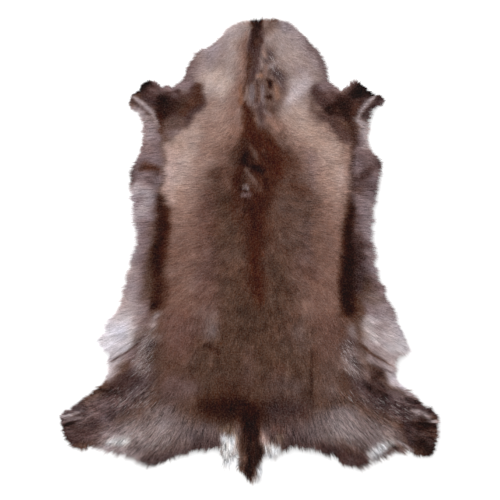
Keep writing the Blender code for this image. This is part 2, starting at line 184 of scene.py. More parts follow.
# Marks of the coat, painted in this order: name, colour, strength, half the width of the soft edge, and the
# stroke's points as (x, y, radius), all in the photograph's pixels.
coatMarks = [
    # back and croup
    ("leftBack", "warmBrown", 0.95, 12, [(182, 210, 18), (184, 262, 16), (180, 300, 18)]),
    ("leftBackInner", "roseBrown", 0.85, 10, [(206, 196, 6), (204, 226, 9), (206, 262, 10), (206, 300, 12),
                                              (206, 326, 8)]),
    ("leftBackRose", "warmBrown", 1.0, 8, [(192, 206, 5), (194, 226, 7), (194, 264, 8)]),
    ("leftBackDark", "umber", 0.45, 5, [(212, 230, 5)]),
    ("leftBackWarm", "warmBrown", 0.4, 6, [(203, 240, 4), (204, 262, 5)]),
    ("leftLoinWarm", "warmBrown", 0.45, 7, [(170, 290, 6), (208, 290, 5), (212, 328, 5)]),
    ("leftBackLow", "warmBrown", 0.7, 9, [(194, 306, 8), (172, 326, 7)]),
    ("leftCroupRose", "warmBrown", 0.5, 7, [(170, 320, 4), (168, 338, 4)]),
    ("rightBack", "warmBrown", 0.95, 12, [(332, 206, 14), (332, 262, 14), (322, 306, 20)]),
    ("rightBackInner", "roseBrown", 0.6, 9, [(306, 262, 9), (310, 276, 9)]),
    ("rightBackEdge", "rosyFawn", 0.5, 7, [(330, 208, 5), (332, 232, 6)]),
    ("rightBackRust", "umber", 0.6, 6, [(308, 272, 5)]),
    ("rightBackWarm", "warmBrown", 0.4, 7, [(310, 238, 7), (312, 252, 5)]),
    ("rightBackGrey", "greyBrown", 0.5, 7, [(292, 332, 5), (310, 314, 5), (312, 332, 5)]),
    ("rightCroupPale", "haunchGrey", 0.5, 7, [(300, 330, 5), (301, 350, 5), (302, 370, 4)]),
    ("rightLoinWarm", "warmBrown", 0.4, 7, [(280, 250, 4), (300, 288, 5)]),
    ("midBackLeft", "oliveBrown", 0.6, 10, [(228, 208, 16), (234, 256, 10), (238, 304, 12)]),
    ("midBackRight", "oliveBrown", 0.7, 10, [(276, 262, 10), (278, 290, 12), (276, 312, 10)]),
    ("midBack", "umber", 0.85, 9, [(252, 201, 17), (258, 232, 14), (256, 270, 9), (256, 306, 6)]),
    ("midBackRust", "umber", 0.6, 6, [(270, 232, 5)]),
    ("midBackWarm", "warmBrown", 0.25, 7, [(230, 252, 6), (230, 272, 5), (270, 252, 5)]),
    ("leftCroup", "roseBrown", 0.9, 12, [(180, 326, 16), (182, 352, 16), (178, 376, 14)]),
    ("lowBack", "oliveBrown", 0.85, 14, [(250, 320, 26), (240, 344, 20), (240, 368, 50), (256, 388, 60)]),
    ("lowBackLeft", "oliveBrown", 0.7, 10, [(166, 366, 8), (188, 370, 10)]),
    ("lowBackDark", "umber", 0.45, 7, [(280, 370, 6)]),
    ("rightCroupDark", "umber", 0.35, 7, [(320, 350, 5)]),
    ("leftCroupGrey", "haunchGrey", 0.9, 7, [(210, 318, 6), (210, 334, 7)]),
    ("croupPale", "greyBrown", 0.9, 6, [(249, 352, 5), (249, 380, 7)]),
    ("rightCroup", "roseBrown", 0.6, 12, [(330, 330, 14), (330, 352, 12)]),
    ("rightCroupGrey", "greyBrown", 0.8, 10, [(332, 356, 8), (328, 376, 10)]),
    ("leftRump", "dimMauve", 0.55, 10, [(188, 386, 11), (172, 397, 10)]),
    ("rumpRight", "slate", 0.5, 10, [(280, 384, 12), (296, 388, 8)]),
    ("rumpTan", "greyBrown", 0.9, 8, [(322, 392, 6), (334, 396, 6)]),
    ("rumpGrey", "haunchGrey", 0.5, 6, [(332, 391, 5)]),
    ("leftRumpDark", "umber", 0.3, 6, [(170, 370, 6)]),
    ("rumpShade", "umber", 0.45, 7, [(218, 380, 6), (234, 381, 5), (277, 378, 5), (280, 368, 5)]),
    ("rumpLight", "greyBrown", 0.45, 6, [(307, 380, 5), (292, 397, 5), (218, 396, 4)]),
    # pale panels over the shoulders and ribs
    ("leftPanel", "fawn", 1.0, 12, [(222, 108, 18), (204, 138, 26), (186, 168, 24), (182, 196, 14),
                                    (182, 216, 7)]),
    ("rightPanel", "fawn", 1.0, 11, [(298, 108, 20), (312, 138, 26), (326, 166, 21), (331, 190, 10),
                                     (336, 212, 7)]),
    ("leftPanelPale", "tan", 0.95, 9, [(192, 134, 9), (180, 152, 15), (176, 172, 12), (173, 196, 6)]),
    ("leftPanelHigh", "tan", 0.8, 9, [(190, 130, 6), (178, 142, 8), (172, 170, 7)]),
    ("leftPanelGlow", "pinkTan", 0.3, 8, [(186, 133, 7), (182, 168, 8)]),
    ("leftPanelLow", "fawn", 0.35, 7, [(180, 213, 7), (180, 231, 5)]),
    ("rightPanelPale", "tan", 0.6, 9, [(298, 116, 10), (314, 134, 12), (330, 150, 13), (338, 176, 10),
                                       (339, 194, 5)]),
    # paler pink outer band of the right panel: its own colour, with a painted highlight along its raised edge
    ("rightPanelSide", "pinkTan", 0.65, 5, [(342, 170, 4), (342, 191, 4)]),
    ("rightPanelLow", "fawn", 0.8, 5, [(341, 208, 4)]),
    # paler pink outer band of the left panel: its own colour, with a painted highlight along its raised edge
    ("leftPanelPink", "pinkTan", 0.75, 8, [(171, 152, 5), (171, 184, 6), (173, 200, 4)]),
    ("leftPanelRimHighlight", "pinkTan", 0.5, 2, [(168, 142, 2), (168, 168, 2.6), (169, 194, 2)]),
    ("leftPanelEnd", "fawn", 0.6, 6, [(170, 212, 5)]),
    ("rightPanelGrey", "mauve", 0.7, 7, [(309, 158, 6), (312, 184, 5)]),
    # painted highlight along the right panel's raised outer edge
    ("rightPanelRimHighlight", "fawn", 0.8, 2, [(345.5, 140, 3), (345, 196, 3)]),
    # neck
    ("neck", "neckTan", 1.0, 12, [(236, 30, 34), (206, 74, 38), (288, 34, 34), (306, 76, 34),
                                  (256, 92, 32)]),
    ("leftNape", "lilacCream", 0.5, 9, [(228, 28, 10), (222, 40, 7)]),
    ("leftNapeLow", "mauveGrey", 0.9, 8, [(204, 44, 8), (214, 54, 7)]),
    ("leftNeck", "mauveGrey", 0.6, 10, [(216, 52, 10), (200, 70, 10)]),
    ("leftNeckEdge", "dimMauve", 0.9, 8, [(190, 52, 8), (180, 80, 10)]),
    ("rightNape", "mauveGrey", 0.85, 9, [(282, 20, 8), (306, 38, 10), (316, 62, 8)]),
    ("rightNeckEdge", "dimMauve", 0.85, 6, [(314, 42, 6), (324, 58, 5), (330, 84, 7)]),
    ("rightNeckMauve", "mauveGrey", 0.6, 7, [(298, 70, 6), (308, 78, 5)]),
    ("leftNeckCream", "cream", 0.95, 9, [(210, 82, 7), (226, 84, 9), (222, 94, 7)]),
    ("rightNeckCream", "lilacCream", 0.9, 8, [(306, 82, 5), (297, 90, 8), (290, 98, 6)]),
    ("leftNeckRoot", "fawn", 0.9, 9, [(212, 106, 9), (228, 114, 10), (228, 128, 8)]),
    ("leftNeckRootPale", "tan", 0.35, 7, [(204, 112, 6), (220, 108, 5)]),
    ("rightNeckRoot", "tan", 0.7, 9, [(296, 116, 9), (304, 128, 9)]),
    ("napeBrown", "greyBrown", 0.8, 6, [(270, 22, 6), (265, 36, 4)]),
    ("napeRim", "umber", 0.8, 2, [(250, 20, 1), (274, 19, 1.4)]),
    ("maneLeftSide", "rosyFawn", 0.8, 7, [(246, 44, 5), (240, 78, 6), (236, 108, 6), (239, 130, 7)]),
    ("maneRightSide", "greyBrown", 0.9, 6, [(271, 54, 5), (272, 66, 7), (273, 78, 11), (270, 92, 15),
                                            (268, 116, 9)]),
    ("maneTop", "bistre", 1.0, 3, [(256.5, 20, 5.4), (256.5, 30, 5)]),
    ("maneMiddle", "plumBrown", 1.0, 3, [(256.5, 34, 5.4), (256, 46, 7), (254, 60, 8), (252, 72, 7),
                                         (250, 80, 5)]),
    ("maneCore", "nearBlack", 0.8, 3, [(256.5, 32, 3), (256.5, 48, 3.4)]),
    ("maneWarm", "greyBrown", 0.45, 4, [(252, 62, 5), (250, 76, 5)]),
    ("maneRust", "umber", 0.9, 2.6, [(249, 58, 2), (247, 78, 2), (245, 96, 1.6)]),
    ("maneKnot", "umber", 0.9, 2, [(258, 47, 3), (262, 46, 3)]),
    ("maneRight", "dimMauve", 0.5, 3, [(261, 62, 2), (258, 72, 2)]),
    ("maneBrown", "plumBrown", 0.5, 4, [(262, 52, 4), (262, 38, 3)]),
    ("maneLine", "warmBrown", 0.85, 2, [(246, 34, 1.4), (246, 46, 1.4), (244, 66, 2), (243, 84, 1.6),
                                        (241, 106, 2)]),
    ("maneLow", "rust", 0.95, 3.5, [(245, 102, 2.4), (248, 112, 4.4), (250, 126, 5), (256, 138, 7)]),
    ("maneLowGrey", "slate", 0.75, 3.5, [(260, 106, 3), (261, 118, 4), (263, 126, 3)]),
    ("neckScarField", "umber", 0.5, 4, [(255, 84, 5), (256, 100, 6), (252, 114, 4)]),
    ("neckScarUnder", "plumBrown", 0.7, 4, [(258, 110, 4), (262, 116, 3)]),
    ("withersEdgeRight", "greyBrown", 0.9, 8, [(280, 138, 6), (298, 158, 8), (304, 182, 8), (308, 200, 9)]),
    ("withersEdgeLeft", "rosyFawn", 0.6, 5, [(239, 128, 5), (238, 138, 4)]),
    ("withers", "withersRed", 1.0, 8, [(257, 137, 9), (262, 152, 16), (262, 170, 22), (256, 184, 24),
                                       (252, 204, 20)]),
    ("withersRight", "umber", 0.85, 7, [(284, 156, 8), (290, 166, 7), (290, 184, 7), (304, 193, 4)]),
    ("withersDark", "rust", 0.9, 6, [(252, 136, 6), (270, 152, 9), (274, 170, 6)]),
    ("withersLeft", "darkUmber", 0.8, 5, [(246, 144, 4), (245, 162, 8), (242, 182, 7)]),
    ("withersLeftEdge", "warmBrown", 0.7, 7, [(232, 142, 5), (222, 156, 5)]),
    ("withersRightEdge", "rosyFawn", 0.4, 7, [(300, 148, 4), (304, 170, 6)]),
    ("withersLeftInner", "umber", 0.5, 5, [(240, 150, 4)]),
    ("withersLeftWarm", "warmBrown", 0.6, 7, [(228, 156, 5), (226, 186, 6)]),
    ("withersRose", "umber", 0.5, 5, [(214, 174, 5), (226, 172, 5)]),
    ("withersGap", "rosyFawn", 0.9, 5, [(276, 128, 7), (268, 120, 4)]),
    ("withersBlotch", "greyBrown", 0.5, 4, [(292, 172, 4), (286, 182, 4)]),
    ("withersLowRight", "greyBrown", 0.5, 8, [(286, 204, 10), (296, 230, 14)]),
    ("withersSpots", "umber", 0.8, 4, [(305, 187, 2), (311, 190, 3)]),
    ("ribsTop", "greyBrown", 0.6, 7, [(240, 211, 6)]),
    ("ribsRightPale", "rosyFawn", 0.4, 8, [(320, 212, 6), (320, 231, 6)]),
    ("ribsLeftPale", "rosyFawn", 0.3, 8, [(182, 211, 6), (181, 231, 5)]),
    ("ribsGrey", "slate", 0.5, 6, [(308, 222, 3), (310, 256, 4)]),
    ("spine", "rust", 1.0, 6, [(258, 198, 5), (258, 230, 6.5), (255, 262, 6.5), (257, 284, 4.5),
                               (260, 300, 3)]),
    ("spineDeep", "rust", 0.35, 6, [(244, 270, 4), (260, 268, 5), (261, 290, 4), (262, 308, 3)]),
    # dark shoulders and front shanks
    ("leftShoulder", "plumBrown", 1.0, 3, [(200, 90, 4), (194, 90, 6), (194, 101, 12), (180, 112, 17),
                                           (154, 93, 14), (142, 84, 8)]),
    ("leftShoulderLow", "greyBrown", 0.9, 4, [(180, 124, 6), (168, 128, 6)]),
    ("leftShoulderMauve", "mauve", 0.7, 5, [(170, 134, 3), (178, 132, 2)]),
    ("leftShoulderTop", "dimMauve", 0.8, 4, [(182, 84, 5), (190, 80, 4)]),
    ("leftShoulderHigh", "mauve", 0.6, 4, [(161, 89, 3), (181, 87, 3)]),
    ("leftShoulderBlack", "soot", 0.95, 3, [(136, 92, 3), (148, 84, 4)]),
    ("leftShankMauve", "dimMauve", 0.7, 2.4, [(152, 90, 1.6), (160, 96, 1.6), (174, 98, 1.6)]),
    ("leftShankDark", "inkGrey", 0.8, 3, [(144, 99, 2), (156, 103, 3)]),
    ("leftShoulderCore", "nearBlack", 0.95, 4, [(164, 103, 6), (166, 114, 8), (176, 106, 5)]),
    ("leftShoulderOlive", "oliveBrown", 0.7, 4, [(184, 100, 4), (182, 112, 5)]),
    ("leftShoulderInner", "umber", 0.9, 3, [(199, 88, 5), (197, 99, 6), (184, 114, 4)]),
    ("leftShankGrey", "mauve", 0.95, 2, [(151, 80, 1.6), (160, 86, 2), (168, 91, 2), (175, 89, 2.4),
                                         (188, 85, 4)]),
    ("leftShankBack", "mauveGrey", 1.0, 3, [(120, 106, 9), (138, 116, 7), (146, 128, 9), (144, 142, 14)]),
    ("leftPad", "slate", 0.7, 2.4, [(126, 98, 4), (128, 104, 2)]),
    ("leftShankRust", "bistre", 0.9, 2, [(161, 104, 2), (161, 114, 2.6), (161, 124, 2)]),
    ("leftShankFront", "greyBrown", 0.85, 3, [(148, 105, 1.6), (155, 114, 2.4)]),
    ("rightShoulder", "plumBrown", 1.0, 3, [(322, 92, 10), (334, 104, 15), (346, 110, 12), (362, 92, 12)]),
    ("rightShoulderEdge", "greyBrown", 0.9, 4, [(312, 96, 2), (313, 108, 4), (319, 119, 4)]),
    ("rightShoulderTop", "mauve", 0.95, 4, [(326, 86, 5), (340, 88, 5)]),
    ("rightShoulderLow", "plumBrown", 0.75, 3, [(320, 116, 3), (332, 125, 6), (345, 138, 5)]),
    ("rightShoulderBlack", "soot", 1.0, 3, [(354, 96, 6), (364, 88, 5), (370, 96, 3)]),
    ("rightShoulderCore", "nearBlack", 0.95, 4, [(328, 110, 4), (344, 108, 9), (350, 118, 4)]),
    ("rightShankFront", "umber", 0.8, 3, [(356, 106, 2), (354, 116, 2.4)]),
    ("rightShankGrey", "mauve", 0.9, 2, [(345, 88, 1.6), (352, 83, 2), (358, 80, 2)]),
    ("rightShankBack", "slate", 1.0, 3, [(384, 100, 6), (374, 110, 4), (366, 118, 2.4)]),
    # side strips outside the back
    ("leftStrip", "mauve", 1.0, 2, [(141, 142, 21), (138, 180, 25), (135, 230, 27), (126, 270, 30),
                                    (112, 304, 36)]),
    ("rightStrip", "mauve", 1.0, 2, [(376, 146, 23), (378, 176, 26), (380, 220, 28), (386, 270, 30),
                                     (398, 304, 34)]),
    ("leftStripTop", "mauveGrey", 0.7, 5, [(140, 128, 5), (146, 142, 5)]),
    ("leftElbow", "mauveGrey", 0.8, 3, [(148, 120, 5), (150, 132, 6)]),
    ("leftShankRustLow", "rust", 0.9, 2, [(161, 116, 2), (162, 126, 2), (162, 134, 1.4)]),
    ("leftStripMiddle", "paleMauve", 0.95, 5, [(136, 188, 6), (150, 192, 4), (146, 208, 6), (132, 214, 6),
                                               (132, 234, 7)]),
    ("leftStripWhite", "lilacCream", 0.8, 4, [(134, 186, 2), (133, 198, 3)]),
    ("leftStripLow", "paleMauve", 0.8, 5, [(134, 250, 5), (124, 274, 8), (116, 300, 10)]),
    ("leftStripLowPale", "lilacCream", 0.75, 6, [(128, 300, 5), (131, 312, 6)]),
    ("leftBellyTop", "paleMauve", 0.8, 9, [(134, 306, 7), (116, 314, 9)]),
    ("leftStripRim", "slate", 0.9, 4, [(131, 166, 6), (128, 179, 5)]),
    ("leftSmudge", "withersRed", 0.95, 4, [(143, 166, 4), (157, 170, 3.4)]),
    ("leftStripMauve", "dimMauve", 0.7, 4, [(146, 176, 3), (157, 186, 4)]),
    ("leftStripBrown", "greyBrown", 0.9, 4, [(153, 222, 3), (152, 240, 3)]),
    ("leftStripDark", "oliveBrown", 0.9, 5, [(156, 240, 4), (152, 268, 7), (148, 290, 6), (152, 306, 3)]),
    ("rightStripEdge", "dimMauve", 0.8, 4, [(352, 146, 2), (353, 200, 4), (355, 232, 5)]),
    ("rightElbow", "paleMauve", 1.0, 2.4, [(361, 120, 2), (366, 128, 7), (368, 142, 7)]),
    ("rightElbowCream", "cream", 0.35, 3, [(368, 128, 4), (369, 139, 4)]),
    ("rightElbowInner", "plumBrown", 0.8, 2.4, [(355, 118, 1.6), (354, 134, 1.8), (354, 148, 2)]),
    ("rightStripTop", "dimMauve", 0.9, 5, [(360, 156, 5), (372, 164, 8)]),
    ("rightStripRim", "inkGrey", 0.6, 3, [(380, 160, 5), (384, 178, 3)]),
    ("rightStripCurls", "slate", 0.7, 3, [(376, 186, 4), (376, 196, 4)]),
    ("rightStripMottle", "dimMauve", 0.85, 5, [(372, 188, 5), (366, 196, 5)]),
    ("rightStripInner", "plumBrown", 0.6, 4, [(359, 190, 4)]),
    ("rightSmudge", "plumBrown", 0.95, 4, [(360, 178, 4), (366, 172, 5), (372, 168, 3)]),
    ("rightStripPale", "mauveGrey", 0.9, 5, [(372, 204, 6), (368, 222, 5), (376, 240, 5)]),
    ("rightStripDark", "slate", 0.85, 6, [(358, 246, 5), (360, 268, 5), (364, 290, 9)]),
    ("rightStripSide", "mauveGrey", 0.7, 5, [(373, 250, 5), (376, 272, 5)]),
    ("rightStripLowDark", "oliveBrown", 0.9, 5, [(364, 286, 7), (370, 295, 6)]),
    ("rightStripNotch", "plumBrown", 0.8, 4, [(362, 246, 4), (372, 248, 3)]),
    ("rightStripLow", "mauve", 0.9, 6, [(396, 284, 6), (384, 304, 8)]),
    ("rightStripEnd", "dimMauve", 0.5, 5, [(378, 311, 5)]),
    # dark flank stripe in the coat's own colour, with painted shade in the trough below the panel's edge
    ("leftTrough", "bistre", 0.95, 4, [(161, 198, 3), (162, 220, 6), (161, 250, 7), (158, 280, 6),
                                       (156, 306, 4)]),
    ("leftTroughRust", "rust", 0.8, 3, [(166, 208, 2), (167, 236, 3), (164, 262, 2)]),
    # dark flank stripe in the coat's own colour, with painted shade in the trough below the panel's edge
    ("rightTrough", "bistre", 1.0, 4, [(350, 198, 2), (348, 222, 6), (348, 250, 7.5), (348, 286, 9.5),
                                       (347, 312, 6)]),
    ("rightTroughSide", "inkGrey", 0.9, 4, [(356, 240, 3), (358, 262, 4), (357, 292, 4)]),
    # painted shadow lines where the panels' raised edges overhang the troughs
    ("leftPanelEdgeShadow", "greyBrown", 0.9, 1.6, [(163.5, 134, 1.4), (163.5, 170, 1.6), (162, 192, 2.4)]),
    ("rightPanelEdgeShadow", "darkUmber", 0.9, 2, [(351, 124, 2), (352, 150, 1.4), (352, 176, 1.2),
                                             (351, 190, 1.6)]),
    # belly hair
    ("leftBelly", "lilac", 1.0, 6, [(124, 326, 13), (112, 336, 23), (94, 352, 18)]),
    ("leftBellyPale", "paleLilac", 0.7, 8, [(108, 334, 6), (100, 344, 10)]),
    ("leftBellyEdge", "mauve", 0.9, 4, [(148, 306, 3), (149, 324, 3)]),
    ("leftBellyInner", "paleMauve", 0.7, 5, [(141, 330, 4), (142, 314, 3)]),
    ("leftGroin", "lilacCream", 0.85, 4, [(118, 361, 4), (102, 372, 8)]),
    ("leftGroinTop", "lilac", 0.9, 4, [(110, 352, 4)]),
    ("leftGroinInner", "mauve", 0.9, 4, [(144, 342, 3), (130, 356, 5)]),
    ("leftGroinDark", "slate", 0.95, 4, [(139, 358, 4), (133, 371, 6), (125, 386, 6)]),
    ("leftGroinRim", "lilac", 1.0, 3, [(108, 366, 5), (110, 376, 4)]),
    ("leftGroinLow", "paleMauve", 0.8, 3, [(118, 371, 3), (112, 382, 3)]),
    ("rightBelly", "lilac", 0.78, 4, [(370, 326, 10), (386, 332, 18), (408, 348, 16)]),
    ("rightBellyTop", "mauveGrey", 0.95, 6, [(374, 300, 8), (388, 312, 7), (380, 328, 5)]),
    ("rightBellyLight", "paleLilac", 0.5, 6, [(366, 338, 4), (402, 348, 5)]),
    ("rightBellyPale", "paleLilac", 0.8, 6, [(410, 346, 9)]),
    ("rightBellySpeck", "slate", 0.8, 1, [(405, 344, 0.8), (405.5, 347, 1)]),
    ("rightGroin", "paleMauve", 0.95, 3, [(366, 343, 3), (380, 352, 5), (398, 362, 8)]),
    ("rightGroinLow", "mauveGrey", 0.9, 3, [(370, 357, 4), (386, 366, 4)]),
    # thighs
    ("leftThigh", "slate", 1.0, 8, [(140, 384, 10), (120, 396, 14), (104, 408, 16), (86, 416, 16)]),
    ("leftThighDark", "plumBrown", 0.75, 6, [(132, 378, 5), (112, 394, 9), (128, 404, 8)]),
    ("leftThighLow", "plumBrown", 0.7, 6, [(100, 410, 7), (112, 412, 4)]),
    ("leftThighInner", "slate", 0.7, 7, [(150, 384, 6), (144, 398, 7)]),
    ("leftStifle", "slate", 0.8, 6, [(150, 344, 5), (146, 374, 8)]),
    ("leftStifleGrey", "haunchGrey", 0.8, 6, [(146, 334, 4), (141, 350, 5)]),
    ("leftStifleTuft", "paleMauve", 0.8, 3, [(158, 317, 3), (154, 326, 3)]),
    ("leftStiflePale", "haunchPale", 0.5, 5, [(142, 336, 4), (158, 337, 4)]),
    ("leftStifleDark", "oliveBrown", 0.9, 3, [(154, 353, 3), (153, 360, 3)]),
    ("leftHaunchLow", "slate", 1.0, 8, [(104, 452, 10), (150, 462, 9), (190, 452, 11), (218, 444, 6)]),
    # stripes beside the back
    ("leftStripeOuter", "oliveBrown", 0.5, 5, [(146, 276, 3.4), (145, 300, 4)]),
    ("leftStripeGlow", "umber", 0.4, 6, [(156, 268, 4), (156, 300, 5)]),
    ("leftStripeInner", "umber", 0.8, 3, [(164, 272, 2.4), (165, 290, 3), (163, 308, 3)]),
    ("leftStripeTop", "mauveGrey", 0.3, 5, [(156, 186, 4), (155, 212, 4)]),
    ("leftStripBack", "paleMauve", 0.6, 5, [(135, 225, 3), (134, 255, 4), (134, 304, 4)]),
    ("rightStripeOuter", "darkUmber", 0.45, 4, [(360, 236, 3), (361, 256, 4)]),
    ("rightStripeLow", "oliveBrown", 0.45, 5, [(361, 298, 3), (372, 300, 5), (381, 299, 4)]),
    ("rightStripShade", "inkGrey", 0.45, 5, [(360, 184, 4), (370, 185, 4)]),
    ("leftCroupTan", "fawn", 0.3, 5, [(212, 322, 4), (204, 334, 5), (203, 344, 3)]),
    ("leftLoinPale", "haunchGrey", 0.3, 5, [(212, 304, 4), (196, 315, 5)]),
    # haunches and hind shanks
    ("leftHaunch", "haunchGrey", 1.0, 9, [(110, 440, 14), (140, 434, 20), (176, 430, 16), (196, 432, 10)]),
    ("leftHamPale", "haunchPale", 0.9, 8, [(110, 440, 8), (140, 434, 10), (160, 430, 8)]),
    ("leftHaunchTop", "haunchGrey", 0.95, 6, [(148, 412, 6), (170, 412, 6)]),
    ("rightThigh", "slate", 1.0, 7, [(362, 382, 8), (376, 394, 15), (398, 404, 13), (416, 412, 12)]),
    ("rightStifle", "slate", 0.9, 6, [(350, 334, 3), (350, 352, 8), (354, 372, 7)]),
    ("rightStifleDark", "inkGrey", 0.35, 5, [(340, 350, 5)]),
    ("rightStifleSide", "haunchPale", 0.4, 5, [(361, 351, 4), (366, 369, 4), (339, 367, 4)]),
    ("rightStifleTop", "haunchPale", 0.8, 4, [(350, 330, 4), (352, 337, 4)]),
    ("rightHaunchLow", "plumBrown", 1.0, 8, [(292, 448, 8), (330, 452, 10), (352, 462, 12),
                                             (380, 452, 10)]),
    ("rightHaunch", "haunchGrey", 1.0, 9, [(308, 430, 12), (338, 424, 18), (372, 434, 16), (392, 438, 10)]),
    ("rightHaunchPale", "haunchPale", 0.7, 8, [(340, 424, 9), (354, 428, 7)]),
    ("rightHaunchFar", "haunchPale", 0.6, 6, [(390, 428, 6)]),
    ("rightHaunchTop", "haunchGrey", 0.95, 6, [(334, 411, 5), (352, 411, 7)]),
    ("rightHaunchTopPale", "haunchPale", 0.5, 6, [(334, 411, 4), (350, 411, 6)]),
    ("rightThighDark", "inkGrey", 0.95, 5, [(364, 386, 6), (380, 394, 9), (396, 404, 8), (402, 410, 5)]),
    ("rightThighInk", "soot", 0.9, 5, [(368, 386, 6), (382, 390, 6)]),
    ("rightThighCool", "inkGrey", 0.5, 6, [(372, 398, 6)]),
    ("rightThighCurls", "slate", 0.5, 3, [(404, 414, 3), (390, 412, 3)]),
    ("rightThighPale", "lilacCream", 1.0, 3, [(390, 366, 3), (396, 378, 6), (404, 386, 4)]),
    ("rightThighRim", "mauveGrey", 1.0, 3, [(408, 391, 3), (421, 397, 3)]),
    ("leftHindShank", "slate", 1.0, 6, [(56, 416, 12), (76, 412, 10)]),
    ("leftHindHeel", "plumBrown", 1.0, 4, [(64, 436, 10), (84, 436, 8)]),
    ("leftHindHeelPale", "dimMauve", 0.5, 4, [(66, 428, 3), (84, 440, 3)]),
    ("leftHamRoot", "mauve", 0.5, 5, [(92, 438, 5), (110, 427, 4)]),
    ("rightHindShank", "nearBlack", 1.0, 5, [(408, 424, 6), (428, 426, 10), (428, 446, 12), (444, 430, 8)]),
    ("rightHindTop", "inkGrey", 0.9, 3, [(408, 400, 2), (424, 406, 4), (442, 412, 6)]),
    ("rightHindBrown", "greyBrown", 0.7, 5, [(416, 434, 3), (430, 434, 3)]),
    ("rightHindGrey", "slate", 0.6, 4, [(412, 425, 3), (429, 444, 4)]),
    ("rightHamRoot", "inkGrey", 0.9, 4, [(396, 406, 5), (408, 410, 5), (412, 443, 4)]),
    # cooler and darker places of both
    ("leftHindCool", "inkGrey", 0.45, 5, [(95, 404, 4), (94, 418, 4), (94, 430, 4)]),
    ("leftHindPale", "mauve", 0.5, 4, [(108, 418, 4), (120, 430, 3)]),
    ("leftThighSide", "inkGrey", 0.45, 4, [(131, 359, 3), (132, 370, 3)]),
    ("leftThighGlow", "dimMauve", 0.6, 4, [(133, 383, 4)]),
    ("rightStifleShade", "inkGrey", 0.4, 4, [(351, 360, 4), (351, 384, 3), (353, 396, 4), (363, 397, 4)]),
    ("rightHockShade", "inkGrey", 0.5, 4, [(399, 409, 4), (410, 421, 4)]),
    ("rightBellyShade", "mauve", 0.45, 4, [(376, 348, 4), (387, 340, 4)]),
    ("rightHaunchShade", "slate", 0.4, 5, [(364, 432, 4), (376, 443, 4)]),
    ("rightHamGlow", "mauve", 0.5, 4, [(400, 432, 4)]),
    ("rightThighTop", "inkGrey", 0.55, 4, [(376, 372, 4), (364, 372, 3)]),
    ("leftHamShade", "slate", 0.5, 4, [(98, 434, 3), (106, 434, 3)]),
    # rump, seat and tail
    ("rumpLow", "slate", 0.8, 8, [(204, 436, 12), (218, 432, 6), (290, 432, 12), (306, 440, 8)]),
    ("leftSeatPale", "haunchGrey", 0.6, 5, [(218, 432, 5), (202, 430, 4)]),
    ("rumpBand", "bistre", 0.9, 12, [(209, 409, 9), (236, 406, 13), (262, 410, 11)]),
    ("rumpBandRight", "inkGrey", 0.85, 11, [(276, 410, 11), (302, 411, 9)]),
    ("rightRumpPale", "haunchGrey", 0.5, 5, [(322, 413, 5)]),
    ("rightRumpDark", "umber", 0.3, 5, [(306, 413, 5)]),
    ("rumpRust", "umber", 0.7, 5, [(224, 389, 3), (252, 388, 3)]),
    ("leftLowerEdge", "slate", 0.8, 6, [(156, 468, 6), (178, 456, 7), (210, 450, 6)]),
    ("leftHamFringe", "paleMauve", 1.0, 4, [(104, 451, 5), (122, 453, 5), (136, 455, 3)]),
    ("rightLowerEdge", "plumBrown", 0.9, 6, [(352, 470, 10), (328, 452, 7), (302, 454, 8)]),
    ("rightSeatEdge", "inkGrey", 0.6, 5, [(308, 452, 5), (332, 457, 5)]),
    ("rightSeatShade", "inkGrey", 0.35, 5, [(322, 444, 4)]),
    ("leftSeatEdge", "plumBrown", 0.7, 5, [(198, 450, 6)]),
    ("leftTailTan", "hazel", 0.8, 4, [(221, 428, 3), (228, 430, 5), (236, 440, 3)]),
    ("rightTailTan", "roseBrown", 0.8, 4, [(274, 428, 4), (283, 432, 4)]),
    ("rightTailStreaks", "hazel", 0.8, 2, [(277, 438, 1.6), (284, 438, 1.6)]),
    ("rightTailPink", "pinkTan", 0.65, 3, [(262, 436, 3), (263, 443, 4)]),
    ("leftTailTuft", "bone", 1.0, 2, [(221, 438, 3.4), (228, 442, 6), (227, 451, 7), (230, 464, 8)]),
    ("leftTailStreaks", "tan", 0.5, 2, [(237, 442, 2), (231, 454, 1.4), (238, 458, 2)]),
    ("rightTailTuft", "bone", 1.0, 3, [(265, 449, 3), (272, 449, 4), (279, 453, 5), (269, 460, 7)]),
    ("dock", "bistre", 1.0, 5, [(250, 410, 9), (250, 432, 10)]),
    ("tail", "nearBlack", 1.0, 2, [(251, 426, 5), (250, 438, 6), (252, 449, 8), (254, 457, 8),
                                   (248, 468, 6), (250, 480, 3.4)]),
    ("tailBrown", "darkUmber", 0.7, 3, [(252, 436, 3), (253, 452, 4)]),
    ("tailRoot", "pitch", 0.5, 5, [(251, 424, 5), (252, 434, 5)]),
    ("tailSide", "darkUmber", 0.85, 2, [(241, 443, 1.6), (240.5, 450, 2)]),
    ("tailTip", "bone", 1.0, 1.6, [(262, 465, 2), (260, 472, 4), (259, 481, 5), (262, 494, 7)]),
]

